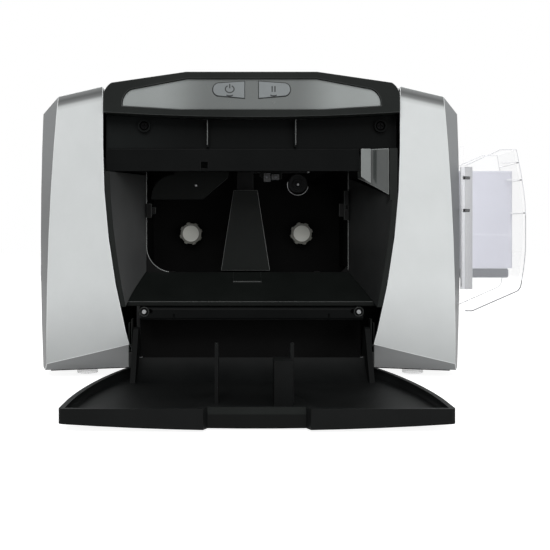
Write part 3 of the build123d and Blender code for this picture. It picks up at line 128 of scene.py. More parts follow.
table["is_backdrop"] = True

room_light = 0.17
world = bpy.data.worlds.new("room")
scene.world = world
world.use_nodes = True
tree = world.node_tree
tree.nodes.clear()
dim = tree.nodes.new("ShaderNodeBackground")
dim.inputs["Strength"].default_value = room_light
bright = tree.nodes.new("ShaderNodeBackground")
bright.inputs["Strength"].default_value = 1.0
for shade in (dim, bright):
    shade.inputs["Color"].default_value = (1, 1, 1, 1)
choose = tree.nodes.new("ShaderNodeMixShader")
tree.links.new(seen_directly(tree), choose.inputs["Fac"])
tree.links.new(dim.outputs[0], choose.inputs[1])
tree.links.new(bright.outputs[0], choose.inputs[2])
output = tree.nodes.new("ShaderNodeOutputWorld")
tree.links.new(choose.outputs[0], output.inputs["Surface"])


# ---- lamps and camera ----
# One large soft box over the camera, and a weak one at each side, so that the flanks stay darker than the face.
def soft_box(name, place, target, size, power):
    """A square area lamp that faces a target point."""
    lamp = bpy.data.lights.new(name, "AREA")
    lamp.size = size
    lamp.energy = power
    holder = bpy.data.objects.new(name, lamp)
    holder.location = place
    holder.rotation_euler = (Vector(target) - Vector(place)).to_track_quat("-Z", "Y").to_euler()
    scene.collection.objects.link(holder)


soft_box("front_light", (-0.15, -1.45, 1.3), (0, 0, 0.1), 1.1, 36)
soft_box("left_light", (-1.6, 0.2, 0.6), (0, 0, 0.12), 0.9, 3.0)
soft_box("right_light", (1.6, 0.2, 0.6), (0, 0, 0.12), 0.9, 3.0)
soft_box("low_light", (1.0, -1.35, 0.3), (-0.05, 0, 0.12), 0.7, 7)
soft_box("back_light", (0, 1.7, 0.9), (0, 0, 0.1), 1.2, 14)

photo_width = 550
focal_pixels = 970.0
optical_axis = (234.3, 235.0)  # where the camera's axis meets the photograph
sensor = 36.0
camera = bpy.data.cameras.new("camera")
camera.sensor_width = sensor
camera.lens = focal_pixels / photo_width * sensor
camera.shift_x = (photo_width / 2 - optical_axis[0]) / photo_width
camera.shift_y = (optical_axis[1] - photo_width / 2) / photo_width
viewer = bpy.data.objects.new("camera", camera)
viewer.location = (-0.0424, -0.790, 0.1185)
viewer.rotation_euler = (math.radians(90), 0, 0)
scene.collection.objects.link(viewer)
scene.camera = viewer


# ---- black mouldings: roof, pan and rear cover, in mass-coloured plastic with a spark-eroded grain ----
# The tone and the gloss wander a little over a moulding, and its rounded outer edges take a lighter, smoother
# finish, which is a painted highlight.
def grain_group():
    """Moulded grain: a mask for the tone, a roughness and a bumped normal."""
    group = bpy.data.node_groups.new("moulded_grain", "ShaderNodeTree")
    for name, start in (("Grain Scale", 2600.0), ("Grain Height", 0.12), ("Roughness", 0.5), ("Wander", 0.08)):
        socket = group.interface.new_socket(name, in_out="INPUT", socket_type="NodeSocketFloat")
        socket.default_value = start
    group.interface.new_socket("Tone", in_out="OUTPUT", socket_type="NodeSocketFloat")
    group.interface.new_socket("Roughness", in_out="OUTPUT", socket_type="NodeSocketFloat")
    group.interface.new_socket("Normal", in_out="OUTPUT", socket_type="NodeSocketVector")
    inside = group.nodes.new("NodeGroupInput")
    outside = group.nodes.new("NodeGroupOutput")
    place = group.nodes.new("ShaderNodeTexCoord")
    fine = group.nodes.new("ShaderNodeTexNoise")
    fine.inputs["Detail"].default_value = 3.0
    broad = group.nodes.new("ShaderNodeTexNoise")
    broad.inputs["Scale"].default_value = 22.0
    broad.inputs["Detail"].default_value = 5.0
    broad.inputs["Roughness"].default_value = 0.65
    bump = group.nodes.new("ShaderNodeBump")
    bump.inputs["Distance"].default_value = 0.0002
    spread = group.nodes.new("ShaderNodeMath")
    spread.operation = "SUBTRACT"
    spread.inputs[1].default_value = 0.5
    scaled = group.nodes.new("ShaderNodeMath")
    scaled.operation = "MULTIPLY_ADD"
    join = group.links.new
    join(place.outputs["Object"], fine.inputs["Vector"])
    join(place.outputs["Object"], broad.inputs["Vector"])
    join(inside.outputs["Grain Scale"], fine.inputs["Scale"])
    join(inside.outputs["Grain Height"], bump.inputs["Strength"])
    join(fine.outputs["Fac"], bump.inputs["Height"])
    join(broad.outputs["Fac"], spread.inputs[0])
    join(spread.outputs[0], scaled.inputs[0])
    join(inside.outputs["Wander"], scaled.inputs[1])
    join(inside.outputs["Roughness"], scaled.inputs[2])
    join(scaled.outputs[0], outside.inputs["Roughness"])
    join(broad.outputs["Fac"], outside.inputs["Tone"])
    join(bump.outputs["Normal"], outside.inputs["Normal"])
    return group


grain = grain_group()


def moulded(name, dark, light, roughness, grain_scale=2600.0, grain_height=0.12, wander=0.08, **fixed):
    """A finish between two close tones, with grain; fixed values go straight to the shader's sockets."""
    made, tree, output = new_material(name)
    shader = tree.nodes.new("ShaderNodeBsdfPrincipled")
    texture = tree.nodes.new("ShaderNodeGroup")
    texture.node_tree = grain
    texture.inputs["Grain Scale"].default_value = grain_scale
    texture.inputs["Grain Height"].default_value = grain_height
    texture.inputs["Roughness"].default_value = roughness
    texture.inputs["Wander"].default_value = wander
    tones = tree.nodes.new("ShaderNodeValToRGB")
    tones.color_ramp.elements[0].position = 0.35
    tones.color_ramp.elements[0].color = dark
    tones.color_ramp.elements[1].position = 0.65
    tones.color_ramp.elements[1].color = light
    tree.links.new(texture.outputs["Tone"], tones.inputs["Fac"])
    tree.links.new(tones.outputs["Color"], shader.inputs["Base Color"])
    tree.links.new(texture.outputs["Roughness"], shader.inputs["Roughness"])
    tree.links.new(texture.outputs["Normal"], shader.inputs["Normal"])
    for socket, value in fixed.items():
        shader.inputs[socket.replace("_", " ")].default_value = value
    tree.links.new(shader.outputs[0], output.inputs["Surface"])
    return made


def wear(target, finish):
    """Gives an object one finish all over."""
    target.data.materials.clear()
    target.data.materials.append(finish)
    for face in target.data.polygons:
        face.material_index = 0


def rounded(work, name, radius, angle, steps):
    """The mesh of a solid with its outer edges rounded over; the rounded strips take the second finish."""
    bmesh.ops.recalc_face_normals(work, faces=work.faces)
    weight = work.edges.layers.float.new("bevel_weight_edge")
    for edge in work.edges:
        if edge.is_manifold and edge.is_convex and edge.calc_face_angle(0) > math.radians(angle):
            edge[weight] = 1.0
    mesh = bpy.data.meshes.new(name)
    work.to_mesh(mesh)
    work.free()
    for face in mesh.polygons:
        face.use_smooth = True
    mesh.set_sharp_from_angle(angle=math.radians(32))
    while len(mesh.materials) < 2:
        mesh.materials.append(None)
    blank = bpy.data.objects.new(name + "_blank", mesh)
    scene.collection.objects.link(blank)
    rounding = blank.modifiers.new("rounding", "BEVEL")
    rounding.width = radius
    rounding.segments = steps
    rounding.limit_method = "WEIGHT"
    rounding.material = 1
    shading = blank.modifiers.new("shading", "WEIGHTED_NORMAL")
    shading.keep_sharp = True
    bpy.context.view_layer.update()
    shaped = bpy.data.meshes.new_from_object(blank.evaluated_get(bpy.context.evaluated_depsgraph_get()))
    bpy.data.objects.remove(blank)
    return shaped


def piece_of(name, mesh, body, finish, edge_highlight=None):
    """An object at the origin for a finished mesh, which rides on a body."""
    piece = bpy.data.objects.new(name, mesh)
    scene.collection.objects.link(piece)
    while len(mesh.materials) < 2:
        mesh.materials.append(None)
    mesh.materials[0] = finish
    mesh.materials[1] = edge_highlight or finish
    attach(piece, body)
    return piece


# The second finish, on the rounded edge strips, is mostly a lighter one: a painted highlight along the edges.
def softened(node, finish, edge_highlight=None, radius=0.0005, angle=28, steps=2):
    """A moulding in place of a CAD node: the same solid with its outer edges rounded over."""
    work = bmesh.new()
    work.from_mesh(nodes[node].data)
    bmesh.ops.remove_doubles(work, verts=work.verts, dist=2e-6)
    bmesh.ops.dissolve_limit(work, angle_limit=math.radians(0.6), verts=work.verts, edges=work.edges)
    mesh = rounded(work, node + "_moulding", radius, angle, steps)
    piece = piece_of(node + "_moulding", mesh, body_of[node], finish, edge_highlight)
    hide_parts(node)
    return piece


black = moulded("black_moulding", srgb(17, 18, 18), srgb(23, 24, 24), 0.5, Specular_IOR_Level=0.15)
black_edge = moulded("black_edge", srgb(46, 48, 47), srgb(56, 58, 57), 0.35, Specular_IOR_Level=0.25)
for node in ("top_cover", "base_pan", "rear_cover", "exit_chute"):
    softened(node, black, black_edge, 0.0005, 28, 2)

# ---- side shells ----
# Plastic mouldings in a metallic silver paint, with fine bright flakes: light on the faces turned forward. Darker
# copies of the silver on the flanks, the top chamfer and the wedge cut away at the bottom are painted shade.
silver = moulded("silver_paint", srgb(192, 195, 195), srgb(196, 199, 199), 0.42, 5200.0, 0.10, 0.05,
                 Metallic=0.1, Specular_IOR_Level=0.2)
silver_edge = moulded("silver_edge", srgb(205, 208, 208), srgb(215, 218, 218), 0.34, 5200.0, 0.08, 0.05,
                      Metallic=0.1, Specular_IOR_Level=0.3)


def ramp_over(finish, share, stops):
    """Multiplies a finish's colour by a grey that follows a 0 to 1 value."""
    tree = finish.node_tree
    shader = next(n for n in tree.nodes if n.type == "BSDF_PRINCIPLED")
    tones = shader.inputs["Base Color"].links[0].from_socket
    ramp = tree.nodes.new("ShaderNodeValToRGB")
    ramp.color_ramp.interpolation = "EASE"
    first, last = ramp.color_ramp.elements
    first.color = (stops[0][1],) * 3 + (1.0,)
    last.color = (stops[-1][1],) * 3 + (1.0,)
    for place, grey in stops[1:-1]:
        ramp.color_ramp.elements.new(place).color = (grey, grey, grey, 1.0)
    blend = tree.nodes.new("ShaderNodeMix")
    blend.data_type = "RGBA"
    blend.blend_type = "MULTIPLY"
    blend.inputs["Factor"].default_value = 1.0
    tree.links.new(share, ramp.inputs["Fac"])
    tree.links.new(tones, blend.inputs["A"])
    tree.links.new(ramp.outputs["Color"], blend.inputs["B"])
    tree.links.new(blend.outputs["Result"], shader.inputs["Base Color"])


def object_axes(tree):
    """The object coordinates, split into X, Y and Z."""
    place = tree.nodes.new("ShaderNodeTexCoord")
    split = tree.nodes.new("ShaderNodeSeparateXYZ")
    tree.links.new(place.outputs["Object"], split.inputs[0])
    return split


def share_of(tree, value, start, end):
    """A value mapped from a range in metres to 0 and 1."""
    share = tree.nodes.new("ShaderNodeMapRange")
    share.inputs["From Min"].default_value = start
    share.inputs["From Max"].default_value = end
    tree.links.new(value, share.inputs["Value"])
    return share.outputs["Result"]


def shade_along(finish, axis, start, end, stops):
    """Paints light and shade into a finish's colour along one axis of the printer, from one place to another."""
    tree = finish.node_tree
    ramp_over(finish, share_of(tree, object_axes(tree).outputs[axis], start, end), stops)


def shade_under_top(finish, top, slope, middle, reach, stops):
    """Paints shade into the paint's colour by the distance under the shell's sloping top edge."""
    tree = finish.node_tree
    axes = object_axes(tree)
    offset = tree.nodes.new("ShaderNodeMath")
    offset.operation = "SUBTRACT"
    offset.inputs[1].default_value = middle
    away = tree.nodes.new("ShaderNodeMath")
    away.operation = "ABSOLUTE"
    line = tree.nodes.new("ShaderNodeMath")
    line.operation = "MULTIPLY_ADD"
    line.inputs[1].default_value = -slope
    line.inputs[2].default_value = top
    under = tree.nodes.new("ShaderNodeMath")
    under.operation = "SUBTRACT"
    tree.links.new(axes.outputs["X"], offset.inputs[0])
    tree.links.new(offset.outputs[0], away.inputs[0])
    tree.links.new(away.outputs[0], line.inputs[0])
    tree.links.new(line.outputs[0], under.inputs[0])
    tree.links.new(axes.outputs["Z"], under.inputs[1])
    ramp_over(finish, share_of(tree, under.outputs[0], 0.0, reach), [(d / reach, grey) for d, grey in stops])


# distance under the top edge in metres, and the grey there, all painted shade: a dark band under the rolled top,
# then an even face that dims low down
face_reach = 0.235
face_shade_stops = [(0.0, 0.42), (0.0016, 0.3), (0.0042, 0.17), (0.0064, 0.27), (0.0096, 0.85), (0.012, 1.0)]
face_shade_stops += [(0.15, 1.0), (face_reach, 0.62)]
shell_low, shell_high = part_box("left_shell")
bezel_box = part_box("top_bezel")
shell_middle = (bezel_box[0][0] + bezel_box[1][0]) / 2
shell_peak = 0.1178  # from the middle out to the face's highest corner
top_slope = 0.115
top_at_middle = shell_high[2] + top_slope * shell_peak
shade_under_top(silver, top_at_middle, top_slope, shell_middle, face_reach, face_shade_stops)
# painted shade on the outer facets: darker low down than at the top, and darker on the left shell than on the right
facet_shade_stops = {"left_shell": [(0.0, 0.31), (0.16, 0.32), (0.48, 0.37), (0.8, 0.82), (1.0, 0.92)]}
facet_shade_stops["right_shell"] = [(0.0, 0.5), (0.16, 0.5), (0.48, 0.53), (0.8, 0.9), (1.0, 1.0)]
# Darker copies of the silver for the chamfer and wedge, the sides and the facets: painted shade.
wedge_shade_silver = moulded("wedge_shade_silver", srgb(112, 115, 116), srgb(117, 120, 121), 0.42, 5200.0, 0.10, 0.05,
                       Metallic=0.1, Specular_IOR_Level=0.2)
side_shade_silver = moulded("side_shade_silver", srgb(150, 153, 154), srgb(155, 158, 159), 0.42, 5200.0, 0.10, 0.05,
                      Metallic=0.1, Specular_IOR_Level=0.2)
for node in ("left_shell", "right_shell"):
    shell = softened(node, silver, silver_edge, 0.0008, 8, 2)
    facet_shade_silver = moulded(node + "_facet", srgb(118, 121, 122), srgb(123, 126, 127), 0.42, 5200.0, 0.10, 0.05,
                           Metallic=0.1, Specular_IOR_Level=0.2)
    shade_along(facet_shade_silver, "Z", 0.0, 0.25, facet_shade_stops[node])
    for finish in (facet_shade_silver, wedge_shade_silver, side_shade_silver):
        shell.data.materials.append(finish)
    for face in shell.data.polygons:
        across, deep, up = face.normal
        if face.material_index == 1 or (deep < -0.8 and abs(up) <= 0.2):
            continue
        face.material_index = 2
        if abs(up) > 0.2:
            face.material_index = 3
        elif abs(across) > 0.97 or deep > 0.8:
            face.material_index = 4

# ---- bezel arch and control panel ----
# The arch is a black moulding; the panel let into it is a satin grey plate.
bezel_black = moulded("bezel_black", srgb(23, 25, 24), srgb(28, 30, 29), 0.5, Specular_IOR_Level=0.05)
softened("top_bezel", bezel_black, black_edge, 0.0007, 25, 3)
panel_grey = moulded("panel_grey", srgb(128, 132, 131), srgb(132, 136, 135), 0.42, 5200.0, 0.06, 0.05,
                     Metallic=0.05, Specular_IOR_Level=0.12)
panel_edge = moulded("panel_edge", srgb(150, 153, 151), srgb(160, 163, 161), 0.35, 5200.0, 0.06, 0.05,
                     Metallic=0.15)
softened("control_panel", panel_grey, panel_edge, 0.0004, 25, 2)


# The panel's grey is painted darker across its middle than at its ends: a painted reflection at the ends.
panel_low, panel_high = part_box("control_panel")
shade_along(panel_grey, "X", panel_low[0], panel_high[0],
            [(0.0, 0.96), (0.14, 0.9), (0.34, 0.48), (0.66, 0.48), (0.86, 0.95), (1.0, 1.05)])

# ---- power and pause buttons ----
# Two rocker keys in the panel's finish. Their flanks are painted dark, as shade in the gap round them, and their
# lower rounded edges lighter, a painted highlight. Each carries a printed sign of its use and a smoked window for
# its lamp at the lower edge.
millimetre = 0.001
bezel_low, bezel_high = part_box("top_bezel")
middle_x = (bezel_low[0] + bezel_high[0]) / 2
front_y = bezel_low[1] + 6 * millimetre  # the case's front plane; the bezel stands 6 mm in front of it


def at(x, y, z):
    """A point in millimetres from the case's middle, its front plane and the table."""
    return Vector((middle_x + x * millimetre, front_y + y * millimetre, z * millimetre))


def arc(centre, radii, start, end, steps):
    """Points along an arc of an ellipse in the front view, from one angle to another in degrees."""
    turns = [math.radians(start + (end - start) * i / steps) for i in range(steps + 1)]
    return [(centre[0] + radii[0] * math.cos(t), centre[1] + radii[1] * math.sin(t)) for t in turns]


def oblong(x0, z0, x1, z1):
    """The four corners of an upright rectangle in the front view."""
    return [(x0, z0), (x1, z0), (x1, z1), (x0, z1)]


def add_plate(work, outline, front, back):
    """A solid plate with this outline in the front view, between two depths."""
    near = [work.verts.new(at(x, front, z)) for x, z in outline]
    far = [work.verts.new(at(x, back, z)) for x, z in outline]
    work.faces.new(near)
    work.faces.new(list(reversed(far)))
    for i in range(len(outline)):
        j = (i + 1) % len(outline)
        work.faces.new((near[j], near[i], far[i], far[j]))


def plates(name, outlines, front, back, body, finish, edge_highlight=None, radius=0.0003, slot="black_plastic"):
    """One piece of one or more flat plates, with rounded edges."""
    work = bmesh.new()
    for outline in outlines:
        add_plate(work, outline, front, back)
    mesh = rounded(work, name, radius, 28, 2)
    return piece_of(name, mesh, body, finish, edge_highlight)


key_grey = moulded("key_grey", srgb(106, 110, 111), srgb(112, 116, 117), 0.42, 5200.0, 0.06, 0.05,
                   Metallic=0.05, Specular_IOR_Level=0.12)
key_lip = moulded("key_lip", srgb(168, 172, 172), srgb(176, 180, 180), 0.35, 5200.0, 0.06, 0.05)
gap_dark = moulded("key_flank", srgb(22, 23, 23), srgb(28, 29, 29), 0.55, Specular_IOR_Level=0.2)
sign_ink = moulded("sign_ink", srgb(34, 36, 36), srgb(40, 42, 42), 0.5, Specular_IOR_Level=0.3)
lamp_smoke = moulded("lamp_smoke", srgb(30, 32, 33), srgb(40, 42, 43), 0.15)
key_front = -5.0
ink_depth = 0.12
sign_z = 233.0
sign_x = 17.2
for node in ("power_button", "pause_button"):
    key = softened(node, key_grey, key_lip, 0.0006, 35, 2)
    key.data.materials.append(gap_dark)
    for face in key.data.polygons:
        if face.normal.y > -0.3:
            face.material_index = 2
        elif face.normal.z > -0.1:
            face.material_index = 0


def flat_outline(node, axis, high):
    """The outer corners of a node's flat face at one end of an axis, in order round it."""
    work = bmesh.new()
    work.from_mesh(nodes[node].data)
    bmesh.ops.remove_doubles(work, verts=work.verts, dist=2e-6)
    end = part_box(node)[high][axis]
    near = [f for f in work.faces if all(abs(v.co[axis] - end) < 1e-5 for v in f.verts)]
    rim = [e for e in work.edges if sum(f in near for f in e.link_faces) == 1]
    after = {}
    for edge in rim:
        for one, other in (edge.verts, reversed(edge.verts)):
            after.setdefault(one.index, []).append(other.index)
    place = {v.index: v.co.copy() for e in rim for v in e.verts}
    start = max(place, key=lambda i: place[i].z)
    loop, last, here = [start], None, start
    while len(loop) <= len(place):
        onward = [i for i in after[here] if i != last]
        if not onward or onward[0] == start:
            break
        last, here = here, onward[0]
        loop.append(here)
    work.free()
    return [place[i] for i in loop]


def grown_outline(points, distance):
    """The outline of a front view, moved outwards by a distance."""
    centre = sum(points, Vector()) / len(points)
    moved = []
    for i, point in enumerate(points):
        along = (points[(i + 1) % len(points)] - points[i - 1]).normalized()
        outward = Vector((along.z, 0, -along.x))
        if outward.dot(point - centre) < 0:
            outward = -outward
        moved.append(point + outward * distance)
    return moved


ring_out = (3.9, 3.2)
ring_in = (2.95, 2.3)
power_ring = arc((-sign_x, sign_z), ring_out, 118, 422, 40) + arc((-sign_x, sign_z), ring_in, 422, 118, 40)
power_bar = oblong(-sign_x - 0.5, sign_z + 0.6, -sign_x + 0.5, sign_z + 4.0)
ink_span = (key_front - ink_depth, key_front + ink_depth)
plates("power_sign", [power_ring, power_bar], *ink_span, "power_button", sign_ink, None, 0.00003)
pause_bars = [oblong(sign_x + side - 0.5, sign_z - 2.3, sign_x + side + 0.5, sign_z + 2.3) for side in (-1.1, 1.1)]
plates("pause_sign", pause_bars, *ink_span, "pause_button", sign_ink, None, 0.00003)
for name, hand in (("power_button", -1), ("pause_button", 1)):
    window = arc((hand * sign_x, 228.6), (2.9, 1.5), 200, 340, 12)
    window += arc((hand * sign_x, 229.0), (2.6, 0.8), 340, 200, 12)
    plates(name + "_window", [window], *ink_span, name, lamp_smoke, None, 0.00003, "clear_plastic")

lamp_z = 223.0
lamp_x = 17.55
lamp_dots = []
for hand in (-1, 1):
    lamp_dots.append(arc((hand * lamp_x, lamp_z), (0.88, 0.88), 0, 330, 11))
plates("panel_lamps", lamp_dots, -4.0, -2.6, "printer", panel_grey, None, 0.00005, "grey_panel")

# ---- fascia, valance, shroud and cheeks ----
# Black mouldings round the mouth of the bay; only the shroud at the right is a glossy grey.
fascia_black = moulded("fascia_black", srgb(6, 7, 7), srgb(10, 11, 11), 0.5, Specular_IOR_Level=0.03)
fascia_edge = moulded("fascia_edge", srgb(17, 18, 18), srgb(23, 24, 24), 0.45, Specular_IOR_Level=0.06)
softened("valance", fascia_black, fascia_edge, 0.0004, 28, 2)
# The upper fascia is painted lighter towards its left end: painted light.
upper_black = moulded("upper_fascia_black", srgb(17, 19, 19), srgb(21, 23, 23), 0.5, Specular_IOR_Level=0.03)
fascia_low, fascia_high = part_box("upper_fascia")
shade_along(upper_black, "X", fascia_low[0], fascia_high[0], [(0.0, 1.0), (0.1, 0.8), (0.3, 0.35), (1.0, 0.35)])
softened("upper_fascia", upper_black, fascia_edge, 0.0004, 28, 2)
# The cheeks take a lit and a shaded copy of one finish: the left one is painted much lighter, and darker towards its
# top, as painted light and shade.
cheek_finish = {}
cheek_finish["left_cheek"] = moulded("left_cheek_black", srgb(72, 73, 73), srgb(80, 81, 81), 0.36,
                                     Specular_IOR_Level=0.3)
shade_along(cheek_finish["left_cheek"], "Z", 0.0, 0.19,
            [(0.0, 1.0), (0.35, 1.0), (0.6, 0.8), (0.95, 0.36), (1.0, 0.33)])
cheek_finish["right_cheek"] = moulded("right_cheek_black", srgb(27, 28, 28), srgb(34, 35, 35), 0.36,
                                      Specular_IOR_Level=0.3)
for node, finish in cheek_finish.items():
    cheek = softened(node, finish, fascia_edge, 0.0004, 28, 2)
    cheek.data.materials.append(bezel_black)
    for face in cheek.data.polygons:
        if face.normal.y < -0.95:
            face.material_index = 2
gloss_grey = moulded("shroud_grey", srgb(55, 58, 57), srgb(63, 66, 65), 0.16, Coat_Weight=0.3)
gloss_edge = moulded("shroud_edge", srgb(130, 133, 132), srgb(140, 143, 142), 0.2)
softened("card_shroud", gloss_grey, gloss_edge, 0.0004, 28, 2)
# The facet plate is a lighter copy of the shroud's grey: a painted highlight on the facet.
gloss_pale = moulded("shroud_facet", srgb(97, 101, 100), srgb(107, 111, 110), 0.16, Coat_Weight=0.3)
facet = [(87.0, 186.9), (87.0, 164.8), (94.6, 159.6), (94.6, 186.9)]
plates("shroud_facet", [facet], 3.3, 4.2, "printer", gloss_pale, gloss_edge, 0.0003, "glossy_grey")


# ---- screws of the case ----
# Steel pan heads with a crossed recess: blackened ones in the fascia's rings, bright ones in the sill bar and
# the rear cover. One head is modelled, and a tree of geometry nodes sets it at each place.
def geometry_tree(name, inputs):
    """A geometry tree with named inputs; gives the tree and its two end nodes."""
    tree = bpy.data.node_groups.new(name, "GeometryNodeTree")
    tree.interface.new_socket("Geometry", in_out="INPUT", socket_type="NodeSocketGeometry")
    tree.interface.new_socket("Geometry", in_out="OUTPUT", socket_type="NodeSocketGeometry")
    for label, kind in inputs:
        tree.interface.new_socket(label, in_out="INPUT", socket_type="NodeSocket" + kind)
    return tree, tree.nodes.new("NodeGroupInput"), tree.nodes.new("NodeGroupOutput")


def grown(name, tree, start, body, finish, slot, **values):
    """Runs a geometry tree on a start mesh and keeps the result as a plain piece that rides on a body."""
    seed = bpy.data.objects.new(name + "_start", start)
    scene.collection.objects.link(seed)
    growth = seed.modifiers.new("growth", "NODES")
    growth.node_group = tree
    sockets = {item.name: item.identifier for item in tree.interface.items_tree
               if item.item_type == "SOCKET" and item.in_out == "INPUT"}
    growth[sockets["Material"]] = finish
    for label, value in values.items():
        growth[sockets[label.replace("_", " ")]] = value
    bpy.context.view_layer.update()
    mesh = bpy.data.meshes.new_from_object(seed.evaluated_get(bpy.context.evaluated_depsgraph_get()))
    bpy.data.objects.remove(seed)
    mesh.name = name
    return piece_of(name, mesh, body, finish, None)


def repeat_tree():
    """The part, turned, scaled and set at each point of the start mesh."""
    tree, start, end = geometry_tree("set_at_points", [("Part", "Object"), ("Turn", "Rotation"), ("Size", "Float"),
                                                       ("Material", "Material")])
    part = tree.nodes.new("GeometryNodeObjectInfo")
    set_out = tree.nodes.new("GeometryNodeInstanceOnPoints")
    real = tree.nodes.new("GeometryNodeRealizeInstances")
    paint = tree.nodes.new("GeometryNodeSetMaterial")
    join = tree.links.new
    join(start.outputs["Geometry"], set_out.inputs["Points"])
    join(start.outputs["Part"], part.inputs["Object"])
    join(part.outputs["Geometry"], set_out.inputs["Instance"])
    join(start.outputs["Turn"], set_out.inputs["Rotation"])
    join(start.outputs["Size"], set_out.inputs["Scale"])
    join(set_out.outputs["Instances"], real.inputs["Geometry"])
    join(real.outputs["Geometry"], paint.inputs["Geometry"])
    join(start.outputs["Material"], paint.inputs["Material"])
    join(paint.outputs["Geometry"], end.inputs["Geometry"])
    return tree


def points_mesh(name, points):
    """A mesh of loose points."""
    mesh = bpy.data.meshes.new(name)
    mesh.from_pydata(points, [], [])
    return mesh


def screw_part():
    """A pan head of radius 1 that faces -Y, with a crossed recess and a stub of its shank."""
    around = 32
    arm, half, recess, crown, skirt = 0.62, 0.15, 0.4, 0.12, 0.5
    cross = [(half, arm), (-half, arm), (-half, half), (-arm, half), (-arm, -half), (-half, -half)]
    cross += [(half, -arm), (arm, -half), (arm, half), (half, half)]
    cross.insert(6, (-half, -arm))
    cross.insert(8, (half, -half))
    work = bmesh.new()

    def ring(radius, y):
        turns = [2 * math.pi * i / around for i in range(around)]
        return [work.verts.new((radius * math.cos(t), y, radius * math.sin(t))) for t in turns]

    rings = [ring(0.8, 0), ring(0.95, crown), ring(1.0, skirt), ring(0.5, skirt), ring(0.5, 1.6)]
    for inner, outer in zip(rings, rings[1:]):
        for i in range(around):
            j = (i + 1) % around
            work.faces.new((inner[i], inner[j], outer[j], outer[i]))
    work.faces.new(rings[-1])
    mouth = [work.verts.new((x, 0, z)) for x, z in cross]
    floor = [work.verts.new((x * 0.75, recess, z * 0.75)) for x, z in cross]
    for i in range(len(cross)):
        j = (i + 1) % len(cross)
        work.faces.new((mouth[i], mouth[j], floor[j], floor[i]))
    work.faces.new(floor)
    rims = [e for e in work.edges if all(v in rings[0] for v in e.verts) or all(v in mouth for v in e.verts)]
    bmesh.ops.triangle_fill(work, edges=rims, use_beauty=True)
    bmesh.ops.recalc_face_normals(work, faces=work.faces)
    mesh = bpy.data.meshes.new("screw_part")
    work.to_mesh(mesh)
    work.free()
    part = bpy.data.objects.new("screw_part", mesh)
    scene.collection.objects.link(part)
    return part


set_at_points = repeat_tree()
screw_head = screw_part()
blackened = moulded("blackened_steel", srgb(4, 4, 5), srgb(7, 7, 8), 0.5, Specular_IOR_Level=0.04)
bright_steel = moulded("screw_steel", srgb(136, 137, 138), srgb(154, 155, 156), 0.3, Metallic=1.0)
fascia_screws = [(-85.5, 8.0, 205.5), (103.0, 8.0, 205.5)]
sill_screws = [(-85.0, 1.4, 57.6), (85.0, 1.4, 57.6)]
rear_screws = [(x, 233.9, z) for x in (-150, 150) for z in (24, 190)]
backwards = (0.0, 0.0, math.pi)
heads = [("fascia_screws", fascia_screws, (0.0, 0.0, 0.0), 3.3, blackened)]
heads += [("sill_screws", sill_screws, (0.0, 0.0, 0.0), 1.8, bright_steel)]
heads += [("rear_screws", rear_screws, backwards, 3.3, bright_steel)]
for name, places, turn, size, finish in heads:
    start = points_mesh(name + "_places", [at(*place) for place in places])
    screws = grown(name, set_at_points, start, "printer", finish, "steel", Part=screw_head, Turn=turn,
                   Size=size * millimetre)
    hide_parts("case_screws")
bpy.data.objects.remove(screw_head)


# ---- ribbon bay: the frame round its opening, its walls, and the plate that hangs at its upper left ----
# Black mouldings. A bead in a lighter finish, a painted highlight, runs along the opening's left edge and lower
# corner, and along the right edge.
def bead_tree():
    """A round bead along the start mesh's edges."""
    tree, start, end = geometry_tree("bead_along_edges", [("Radius", "Float"), ("Sides", "Int"),
                                                          ("Material", "Material")])
    path = tree.nodes.new("GeometryNodeMeshToCurve")
    profile = tree.nodes.new("GeometryNodeCurvePrimitiveCircle")
    tube = tree.nodes.new("GeometryNodeCurveToMesh")
    tube.inputs["Fill Caps"].default_value = True
    smooth = tree.nodes.new("GeometryNodeSetShadeSmooth")
    paint = tree.nodes.new("GeometryNodeSetMaterial")
    join = tree.links.new
    join(start.outputs["Geometry"], path.inputs["Mesh"])
    join(start.outputs["Radius"], profile.inputs["Radius"])
    join(start.outputs["Sides"], profile.inputs["Resolution"])
    join(path.outputs["Curve"], tube.inputs["Curve"])
    join(profile.outputs["Curve"], tube.inputs["Profile Curve"])
    join(tube.outputs["Mesh"], smooth.inputs["Geometry"])
    join(smooth.outputs["Geometry"], paint.inputs["Geometry"])
    join(start.outputs["Material"], paint.inputs["Material"])
    join(paint.outputs["Geometry"], end.inputs["Geometry"])
    return tree


bead_along = bead_tree()


def beads(name, paths, radius, body, finish, slot, closed=False, sides=8):
    """One piece of round beads, each along a path of points."""
    points, edges = [], []
    for path in paths:
        first = len(points)
        points += path
        edges += [(first + i, first + i + 1) for i in range(len(path) - 1)]
        if closed:
            edges.append((len(points) - 1, first))
    mesh = bpy.data.meshes.new(name + "_path")
    mesh.from_pydata(points, edges, [])
    return grown(name, bead_along, mesh, body, finish, slot, Radius=radius * millimetre, Sides=sides)


